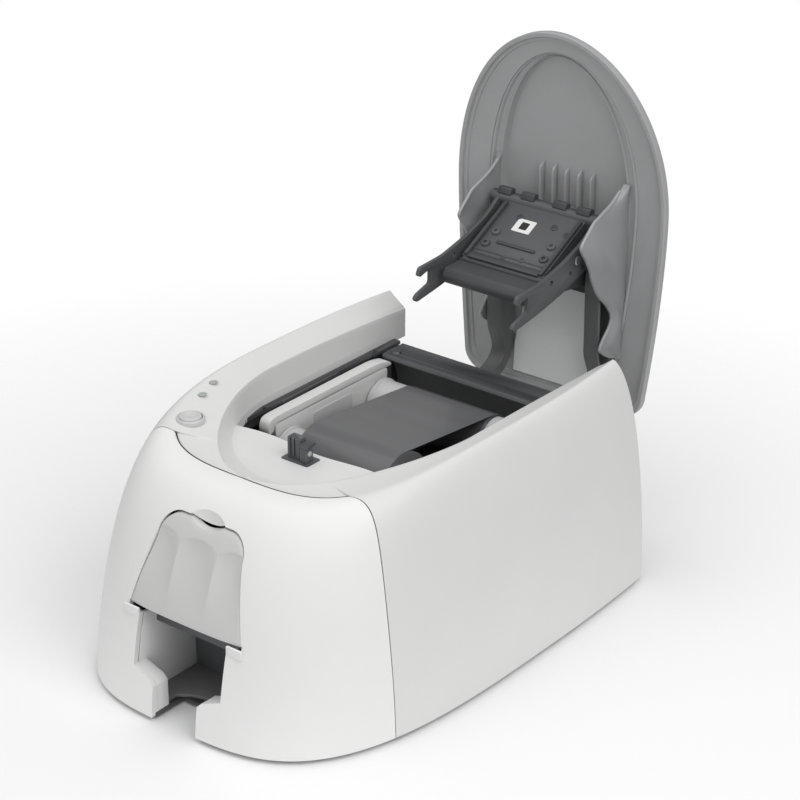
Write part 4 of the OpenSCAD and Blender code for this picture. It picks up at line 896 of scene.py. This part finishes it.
# ---- lid gussets: clear webs that stand on the lid beside the arms ----------------------------------
def spline(pts, n):
    """Points of a smooth line through pts, n to each stretch."""
    out = []
    for i in range(len(pts) - 1):
        a, b = pts[max(0, i - 1)], pts[i]
        c, d = pts[i + 1], pts[min(len(pts) - 1, i + 2)]
        for f in steps(n)[:-1]:
            out.append(tuple(0.5 * (2 * b[q] + (c[q] - a[q]) * f
                                    + (2 * a[q] - 5 * b[q] + 4 * c[q] - d[q]) * f * f
                                    + (3 * b[q] - a[q] - 3 * c[q] + d[q]) * f ** 3)
                             for q in range(len(b))))
    return out + [pts[-1]]


WEB_X, WEB_T, WEB_LEAN = 44.2, 1.2, 2.4
WEB_START, WEB_RUN, WEB_RISE = 140, 105, 4.6
WEB_EDGE = [(140, 131), (147.5, 120), (151.5, 110), (154.4, 102.5), (158.2, 98), (162, 93.6),
            (165.8, 90.6), (170, 92.4), (175, 96), (182, 100), (189, 102.6), (200, 109), (208, 117),
            (216, 122.6), (222, 122), (229, 115.6), (234.4, 112.4), (239, 117), (243, 125)]
WEB_FOLDS, WEB_DEPTH = 5, 1.3

for side, tag in SIDES:
    # web between its free edge (closed lid, back and up) and the lid, with shallow folds
    edge = spline(WEB_EDGE, 5)
    rows = []
    for i, free in enumerate(edge):
        t = i / (len(edge) - 1)
        y = WEB_START + WEB_RUN * t
        row = []
        for s in steps(22):
            py, pz = lerp((y, lid_z(y) + WEB_RISE), free, s)
            fold = math.sin(WEB_FOLDS * math.pi * (t + 0.22 * s)) * math.sin(math.pi * s)
            row.append(up(side * (WEB_X - WEB_LEAN * s * s + WEB_DEPTH * fold), py, pz))
        rows.append(row)
    thicken(add(f"lid_gusset_{tag}", *sheet_grid(rows), "lid", SMOKE_THIN, "lid_gussets", angle=60),
            WEB_T, 60, 0)
    # bead along the free edge
    bar(f"lid_gusset_bead_{tag}", [(side * (WEB_X - WEB_LEAN), y, z) for y, z in edge[2:-2]],
        (0.95, 0.95, (1, 0, 0), (0, 0.7, 0.7)), "lid", SMOKE, "lid_gussets", n=10, power=2)


# ---- lid arms -----------------------------------------------------------------------------------
ARM_LINE = [(176, 124.5), (199.6, 125.6), (200, 125.6), (228, 126), (248, 125.6), (258, 123.6),
            (265, 118.5), (269.4, 110), (271.8, 98), (273, 86), (273.5, 77)]
ARM_SHALLOW, ARM_DEEP, DEEP_START, DEEP_END, DEEP_FADE = 3.6, 11, 196, 238, 24


def arm_depth(y):
    """How far the arm stands out from the lid; it is deeper over the take-up spool."""
    t = max((DEEP_START - y) / DEEP_FADE, (y - DEEP_END) / DEEP_FADE, 0.0)
    return ARM_SHALLOW + (ARM_DEEP - ARM_SHALLOW) * (0.5 + 0.5 * math.cos(math.pi * min(1.0, t)))


# channel section (across, outwards): a web on the inner side, a flange behind and one in front
ARM_SECTION = round_corners([(29, -3.6), (39, -3.6), (39, -1.6), (31.3, -1.6), (31.3, 1.2), (39, 1.2),
                             (39, 3.6), (29, 3.6)], 0.7, 3)
BACK_FLANGE = -1.2               # what lies further back than this goes down with the arm's depth
BARREL = [(0, 2.55), (0, 4.7), (0.5, 5.2)]
BOSS = [(2.2, 0.0), (2.2, 6.5), (3.2, 6.8), (3.6, 6.0), (3.6, 0.0)]
BOSS_X, BOSS_Z, BOSS_FLAT = 34, 129, 0.75

line = spline(ARM_LINE, 6)
for side, tag in SIDES:
    rings = []
    for i, (y, z) in enumerate(line):
        a, b = line[max(0, i - 1)], line[min(len(line) - 1, i + 1)]
        d = Vector((b[0] - a[0], b[1] - a[1])).normalized()
        deep = arm_depth(y) - ARM_SHALLOW
        section = [(x, h - (deep if h < BACK_FLANGE else 0)) for x, h in ARM_SECTION]
        rings.append([up(side * x, y - d.y * h, z + d.x * h) for x, h in section])
    skin(f"lid_arm_{tag}", rings, "lid", ARM, "lid_arms", angle=30)
    lo, hi = span(side, 29, 39)
    lathe(f"lid_barrel_{tag}", [(lo + d, r) for d, r in BARREL] + [(hi - d, r) for d, r in BARREL[::-1]],
          *HINGE, "lid", ARM, "lid_arms", n=48)
    for y in (210, 242):
        skin(f"lid_boss_{tag}_{y}", [[up(*p, BOSS_Z + h * BOSS_FLAT)
                                      for p in circle(side * BOSS_X, y, r, 28)] for r, h in BOSS],
             "lid", SMOKE, "lid_shell", caps=0)

# ---- head carrier on the arms (closed lid: y back, z up, in mm) -------------------------------------
CARRIER_HALF = 27
PLATE_TOP, PLATE_LOW = (161, 117), (183, 74)
PLATE_LEN = math.dist(PLATE_TOP, PLATE_LOW)
PLATE_OUT = ((PLATE_LOW[1] - PLATE_TOP[1]) / PLATE_LEN, (PLATE_TOP[0] - PLATE_LOW[0]) / PLATE_LEN)


def carrier(name, points, lo, hi, mat, soft, radius, node="head_carrier"):
    return slab(name, points, lo, hi, mat, node, "lid", place=up, soft=soft, radius=radius)


def on_plate(x, t, h):
    """Point on the sloping plate: t 0 at its upper end, 1 at its lower end, h off its face."""
    y, z = lerp(PLATE_TOP, PLATE_LOW, t)
    return up(x, y + PLATE_OUT[0] * h, z + PLATE_OUT[1] * h)


def plate_place(x, s, h):
    return on_plate(x, s / PLATE_LEN, h)


def plate_disc(name, x, t, profile, mat, node):
    """Profile of (radius, height) round a line square to the plate."""
    skin(name, [[plate_place(p, t * PLATE_LEN + s, h) for p, s in circle(x, 0, r, 28)]
                for r, h in profile], "lid", mat, node, caps=1)


carrier("carrier_beam", [(157.6, 119.4), (161, 116.2), (166, 116.2), (206, 119.6), (206, 123),
                         (160, 123), (157.6, 122)], -39, 39, DARK, 0.3, [2, 1.6, 1, .6, .8, 1.2, 1.2])
lathe("carrier_tube", [(-38.8, 0.2), (-38.8, 2.8), (-38.3, 3.3), (38.3, 3.3), (38.8, 2.8), (38.8, 0.2)],
      161.2, 119.5, "lid", MID, "head_carrier", place=up, n=40)
carrier("carrier_plate", [(161, 117), (163.4, 117.6), (184.5, 76.5), (190, 73.5), (189.4, 71.5),
                          (183, 74)], -CARRIER_HALF, CARRIER_HALF, MID, 0.35, 0.8)
for i in range(5):
    y, z = 180.4 + 1.5 * i, 82.6 - 3.0 * i
    carrier(f"carrier_fin_{i + 1}", rect(y - 2.3, y + 1.2, z - 0.9, z + 0.5), -CARRIER_HALF - 0.8,
            CARRIER_HALF + 0.8, DARK if i % 2 else MID, 0.2, 0.5)
for i, (x, t) in enumerate([(19, 0.50), (20, 0.70), (-19, 0.50), (-20, 0.70)]):
    plate_disc(f"plate_screw_{i + 1}", x, t, [(2.6, 0.0), (2.6, 0.8), (2.2, 1.3), (1.2, 1.4),
                                              (1.0, 0.7), (0.2, 0.7)],
               MID if t < 0.6 else DARK, "carrier_screws")
for i, (x, t, r) in enumerate([(12, 0.22, 1.6), (22, 0.28, 1.3), (-12, 0.2, 1.6), (8, 0.8, 1.2),
                               (-4, 0.82, 1.2)]):
    plate_disc(f"plate_stud_{i + 1}", x, t, [(r + 0.5, 0), (r + 0.5, 0.4), (r, 0.6), (0.2, 0.6)], DARK,
               "head_carrier")
# patches on the plate: x, t and h from and to, material, node, edge rounding
for name, x0, x1, t0, t1, h0, h1, mat, node, soft in (
        ("tag", -11.5, 0.5, 0.22, 0.42, 0.05, 0.35, TAG, "carrier_tag", 0),
        ("tag_square", -7.8, -2.8, 0.265, 0.375, 0.3, 0.5, BLACK, "carrier_tag", 0),
        ("step", -24, 24, 0.90, 0.97, 0.0, 1.6, DARK, "head_carrier", 0.15),
        ("rib_left", -26.5, -24.5, 0.05, 0.95, 0.0, 2.4, DARK, "head_carrier", 0.15),
        ("rib_right", 24.5, 26.5, 0.05, 0.95, 0.0, 2.4, DARK, "head_carrier", 0.15),
        ("ridge", -14, 12, 0.62, 0.66, 0.0, 0.9, DARK, "head_carrier", 0.15)):
    outline = round_corners(rect(x0, x1, t0 * PLATE_LEN, t1 * PLATE_LEN), 0.5, 3)
    patch = add(f"plate_{name}", *prism(outline, h0, h1, along_z, plate_place), "lid", mat, node,
                merge=FINE)
    if soft:
        soften(patch, soft)
for i, x in enumerate((-30, -14, 8, 24)):
    carrier(f"beam_lug_{i + 1}", [(154.6, 118.6), (158.4, 116.8), (160.5, 119), (160.5, 122.6),
                                  (155.2, 122.6)], x - 4.5, x + 4.5, DARK, 0.4, 1.2)
FORK = [(160.5, 121), (159.8, 116), (168, 104), (175, 84), (179.5, 64), (180.5, 43), (184.5, 41),
        (185.9, 43), (183.7, 51.9), (192.3, 51.9), (195.7, 40), (198, 38), (200, 40), (197, 62),
        (192, 86), (186, 106), (182, 121)]
FORK_ROUND = [1, 1.5, 6, 6, 4, 1.6, 1.4, 0.8, 1.6, 1.6, 1.4, 1.2, 1.2, 6, 6, 5, 1]
FORK_HOLES = ((74, 1.6), (92, 1.3), (104, 1.5))      # height and radius
for side, tag in SIDES:
    carrier(f"carrier_cheek_{tag}", [(163, 117), (184.6, 76), (192, 73.6), (196, 88), (200, 119.4)],
            *span(side, 25, CARRIER_HALF), MID, 0.3, 1.5)
    lo, hi = span(side, 32, 34.5)
    plate = carrier(f"fork_{tag}", FORK, lo, hi, MID, 0.45, FORK_ROUND, "head_forks")
    carve(plate, [tool(circle(182.5, z, r, 24), lo - 1, hi + 1, along_x, up) for z, r in FORK_HOLES])
    lo, hi = span(side, 34.4, 35.6)
    lathe(f"fork_pin_{tag}", [(lo, 0.2), (lo, 2.4), (lo + 0.3, 2.7), (hi - 0.3, 2.7), (hi, 2.3),
                              (hi, 0.2)], 176.5, 98, "lid", STEEL, "head_forks", place=up, n=32)

# ---- ribbon cassette, seated ------------------------------------------------------------------------
SUPPLY_Y, TAKEUP_Y, SPOOL_Z = 149, 228, 86
SIDE_X, SIDE_T = 50, 3
CORE_R, BORE_R, COLLAR_R, RING_R, NECK_R, END_X = 12, 10.3, 14, 12.4, 11.2, 61
FILM_HALF, FILM_R, WOUND_R = 30, 22, 14.2
NECK, FLANK = 13.2, CORE_R - 0.2
RAIL_F, RAIL_R = SUPPLY_Y - 15, TAKEUP_Y + 12
RAIL_TOP = [(RAIL_F, 104), (RAIL_F + 1.5, 108), (RAIL_F + 6, 109), (RAIL_R - 12, 109),
            (RAIL_R - 2, 107), (RAIL_R, 104.4), (RAIL_R - 2, 104), (RAIL_R - 12, 105),
            (RAIL_F + 8, 105), (RAIL_F + 5, 103.6), (RAIL_F + 4, 100.2), (RAIL_F + 0.6, 100.2)]
RAIL_LOW = [(RAIL_F + 0.6, 66.2), (RAIL_F, 71.6), (RAIL_F + 2.6, 72.2), (RAIL_F + 4.2, 69),
            (RAIL_R - 2, 69), (RAIL_R, 67.6), (RAIL_R - 1, 66.2)]
SIDE_PLATE = [(SUPPLY_Y - 9, 104), (TAKEUP_Y + 8, 104), (TAKEUP_Y + 8, 97), (TAKEUP_Y - 4, 69),
              (SUPPLY_Y + 8, 69), (SUPPLY_Y - 9, 97)]
# the grip stands out from the plate and narrows downwards: foot front and rear, face front and
# rear (y, z), depth
GRIP = [((SUPPLY_Y + 14, 103.6), (TAKEUP_Y - 18.6, 103.6), (SUPPLY_Y + 23, 103.6),
         (TAKEUP_Y - 19.2, 103.6), 3.0),
        ((SUPPLY_Y + 25, 77), (TAKEUP_Y - 18.6, 70), (SUPPLY_Y + 37, 77), (TAKEUP_Y - 19.2, 70), 7.6),
        ((SUPPLY_Y + 35, 62.5), (TAKEUP_Y - 18.8, 67), (SUPPLY_Y + 44, 61.5), (TAKEUP_Y - 19.8, 66),
         8.2)]
for side, tag in SIDES:
    node, foot_x = f"cassette_side_{tag}", SIDE_X + SIDE_T - 0.4
    for name, outline, depth, soft, radius in (
            ("rail_top", RAIL_TOP, 7, 0.7, [2, 2.5, 3, 5, 3, 0.8, 2, 5, 2, 2, 1.2, 1.2]),
            ("plate", SIDE_PLATE, SIDE_T, 0.4, [2, 2, 4, 3, 3, 4]),
            ("rail_low", RAIL_LOW, 5.6, 0.5, [1.6, 1, 1, 1.6, 1, 0.6, 0.6])):
        piece = slab(f"{name}_{tag}", outline, *span(side, SIDE_X, SIDE_X + depth), FRAME_WHITE, node,
                     "cassette", soft=soft, radius=radius)
        if name == "plate":
            carve(piece, [tool(circle(y, SPOOL_Z, CORE_R + 0.35, 64), *span(side, 40, 60), along_x)
                          for y in (SUPPLY_Y, TAKEUP_Y)])
    rings = [[at(side * x, *p) for x, p in ((foot_x, a), (SIDE_X + depth, c), (SIDE_X + depth, d),
                                            (foot_x, b))] for a, b, c, d, depth in GRIP]
    soften(skin(f"grip_{tag}", rings, "cassette", FRAME_WHITE, node), 0.9, 4, 12, 25)
    slab(f"label_well_{tag}", rect(SUPPLY_Y + 22, TAKEUP_Y - 24, 100, 82),
         *span(side, SIDE_X - 0.5, SIDE_X + 0.1), CORE, node, "cassette", soft=0.15, radius=1.5)

# profiles of the spool tubes as (distance, radius): from the tube's end, and from x = 0
TUBE_END = [(0, BORE_R + 0.5), (0.5, RING_R - 0.7), (1, RING_R), (2.9, RING_R), (3.2, RING_R - 0.3),
            (3.3, NECK_R)]
TUBE_PLAIN = [(0, BORE_R + 0.3), (0, NECK_R - 0.3), (0.3, NECK_R)]
TUBE_HALF = [(SIDE_X + d, r) for d, r in (
    (7.0, NECK_R), (6.9, FLANK), (6.6, CORE_R), (5.5, CORE_R), (5.2, FLANK), (5.1, NECK_R),
    (4.4, NECK_R), (4.3, FLANK), (4.0, CORE_R), (0.1, CORE_R), (-1.4, CORE_R),
    (-1.7, COLLAR_R - 0.3), (-2.0, COLLAR_R), (-3.2, COLLAR_R), (-3.5, COLLAR_R - 0.3),
    (-3.7, NECK))] + [(FILM_HALF + 0.6, NECK), (FILM_HALF + 0.3, 12.6), (FILM_HALF + 0.1, 12.05)]


def tube_profile(x0, x1, left):
    """Closed (x, r) profile of a spool tube, bored through; left is the shape of its left end."""
    return [(x0 + d, r) for d, r in left] + [(-x, r) for x, r in TUBE_HALF] + TUBE_HALF[::-1] \
        + [(x1 - d, r) for d, r in TUBE_END[::-1]] \
        + [(x1, BORE_R + 0.15), (x1 - 0.5, BORE_R), (x0 + 0.5, BORE_R), (x0, BORE_R + 0.15)]


def teeth(x, a):
    return 0.75 * max(0.0, math.cos(30 * a)) if -END_X + 0.8 < x < -END_X + 3.05 else 0.0


TAKEUP_LEFT = -57.5
lathe("supply_tube", tube_profile(-END_X, END_X, TUBE_END), SUPPLY_Y, SPOOL_Z, "supply_spool", CORE,
      ["supply_core", "supply_wheel", "supply_collars"], n=240, wave=teeth)
lathe("takeup_tube", tube_profile(TAKEUP_LEFT, END_X, TUBE_PLAIN), TAKEUP_Y, SPOOL_Z, "takeup_spool",
      CORE, ["takeup_core", "takeup_collars"], n=120)
KEY_X, KEY_R = END_X - 1.7, BORE_R - 0.3
N_LAYERS = 14
for name, y, r, mat in (("supply", SUPPLY_Y, FILM_R, FILM), ("takeup", TAKEUP_Y, WOUND_R, FILM_WOUND)):
    for i, a in enumerate((-1.9, 1.2, 2.9)):
        lathe(f"{name}_key_{i + 1}", rect(KEY_X - 1.4, KEY_X + 1.3, 0.1, 0.9), y + KEY_R * math.cos(a),
              SPOOL_Z + KEY_R * math.sin(a), f"{name}_spool", CORE, f"{name}_core", n=16)
    # wound film: its layers show as fine rings on the ends
    low = CORE_R + 0.2
    end = [(FILM_HALF - (0.12 if i % 2 else 0.0), low + (r - 0.5 - low) * i / N_LAYERS)
           for i in range(N_LAYERS + 1)]
    rim = [(FILM_HALF - 0.25, r - 0.12), (FILM_HALF - 0.7, r)]
    half = end + rim
    skin_profile = [(-x, q) for x, q in half] + half[::-1]
    film = lathe(f"{name}_roll", skin_profile, y, SPOOL_Z, f"{name}_spool", mat, f"{name}_film", n=128)
    smooth(film, 50)

# the film between the rolls lies on both, a hair above them
TILT = math.asin((FILM_R - WOUND_R) / (TAKEUP_Y - SUPPLY_Y))
LEAVE = math.pi / 2 - TILT       # angle at which the film leaves the supply roll
LIFT, THICK, SINK = 0.35, 0.25, 0.3
WRAP, WRAP_ANGLE = 0.30, 0.9


def web_point(t, h):
    """Point (y, z) of the film, h above its underside: on the supply roll up to WRAP, then straight."""
    if t < WRAP:
        a = LEAVE + (WRAP - t) / WRAP * WRAP_ANGLE
        f = t / WRAP
        r = FILM_R - SINK + (LIFT + SINK + h) * f * f * (3 - 2 * f)
        return SUPPLY_Y + r * math.cos(a), SPOOL_Z + r * math.sin(a)
    ends = [(y + (r + LIFT + h) * math.cos(LEAVE), SPOOL_Z + (r + LIFT + h) * math.sin(LEAVE))
            for y, r in ((SUPPLY_Y, FILM_R), (TAKEUP_Y, WOUND_R))]
    return lerp(*ends, (t - WRAP) / (1 - WRAP))


top, low = [[[at(x, *web_point(t, h)) for x in steps(24, -FILM_HALF, FILM_HALF)] for t in steps(60)]
            for h in (THICK, 0.0)]
add("ribbon_web", *two_skins(top, low), "cassette", FILM, "ribbon_film", merge=FINE)

# ---- camera, light and ground -------------------------------------------------------------------
scene = bpy.context.scene
AZIMUTH, ELEVATION = math.radians(38.4), math.radians(25.4)
EYE = Vector((0.7548, -0.9063, 0.6943))
FOCAL_PX, FRAME_PX, SENSOR = 2507, 800, 36


def look(azimuth, elevation):
    back = Vector((math.sin(azimuth) * math.cos(elevation),
                   -math.cos(azimuth) * math.cos(elevation), math.sin(elevation)))
    right = Vector((math.cos(azimuth), math.sin(azimuth), 0))
    return Matrix((right, back.cross(right), back)).transposed()


camera = bpy.data.objects.new("camera", bpy.data.cameras.new("camera"))
scene.collection.objects.link(camera)
scene.camera = camera
camera.matrix_world = Matrix.LocRotScale(EYE, look(AZIMUTH, ELEVATION), None)
camera.data.sensor_width = SENSOR
camera.data.lens = FOCAL_PX / FRAME_PX * SENSOR
camera.data.clip_end = 20


LAMP_FAR, AIM_Z = 1.6, 0.1
for name, azimuth, elevation, size, power in (("key", 78, 46, 1.2, 11), ("front", 5, 30, 1.4, 3.2),
                                              ("top", -60, 78, 1.6, 8)):
    data = bpy.data.lights.new(name, "AREA")
    data.shape = "SQUARE"
    data.size = size
    data.energy = power
    obj = bpy.data.objects.new(name, data)
    scene.collection.objects.link(obj)
    turn = look(math.radians(azimuth), math.radians(elevation))
    obj.matrix_world = Matrix.LocRotScale(turn @ Vector((0, 0, LAMP_FAR)) + Vector((0, 0, AIM_Z)),
                                          turn, None)

SKY = 0.42                       # the camera sees full white, the printer this much light
world = bpy.data.worlds.new("studio")
scene.world = world
world.use_nodes = True
tree = world.node_tree
sky = feed(tree, tree.nodes["Background"], Color=WHITE, Strength=SKY)
plain = knot(tree, "Background", Color=WHITE, Strength=1.0)
blend(tree, knot(tree, "LightPath").outputs["Is Camera Ray"], sky.outputs["Background"],
      plain.outputs["Background"], "World Output")

GROUND = 6.0
FADE_FROM, FADE_TO = 0.16, 0.5   # metres from the middle over which the floor fades to white
ground_mesh = bpy.data.meshes.new("ground")
ground_mesh.from_pydata([(x, y, 0) for x, y in rect(-GROUND, GROUND, -GROUND, GROUND)], [],
                        [(0, 1, 2, 3)])
ground = bpy.data.objects.new("ground", ground_mesh)
scene.collection.objects.link(ground)
floor_mat = surface("ground", (0.97, 0.97, 0.97), 0.9, grain=40, bump=0.0, tone=0.004, patch=2)
tree = floor_mat.node_tree
reach = knot(tree, "VectorMath", Vector=knot(tree, "TexCoord").outputs["Object"])
reach.operation = "LENGTH"
fade = knot(tree, "MapRange", From_Min=FADE_FROM, From_Max=FADE_TO, Value=reach.outputs["Value"])
blend(tree, fade.outputs["Result"], tree.nodes["Principled BSDF"].outputs["BSDF"],
      knot(tree, "BsdfTransparent").outputs["BSDF"], "Material Output")
ground_mesh.materials.append(floor_mat)

scene.view_settings.view_transform = "Standard"
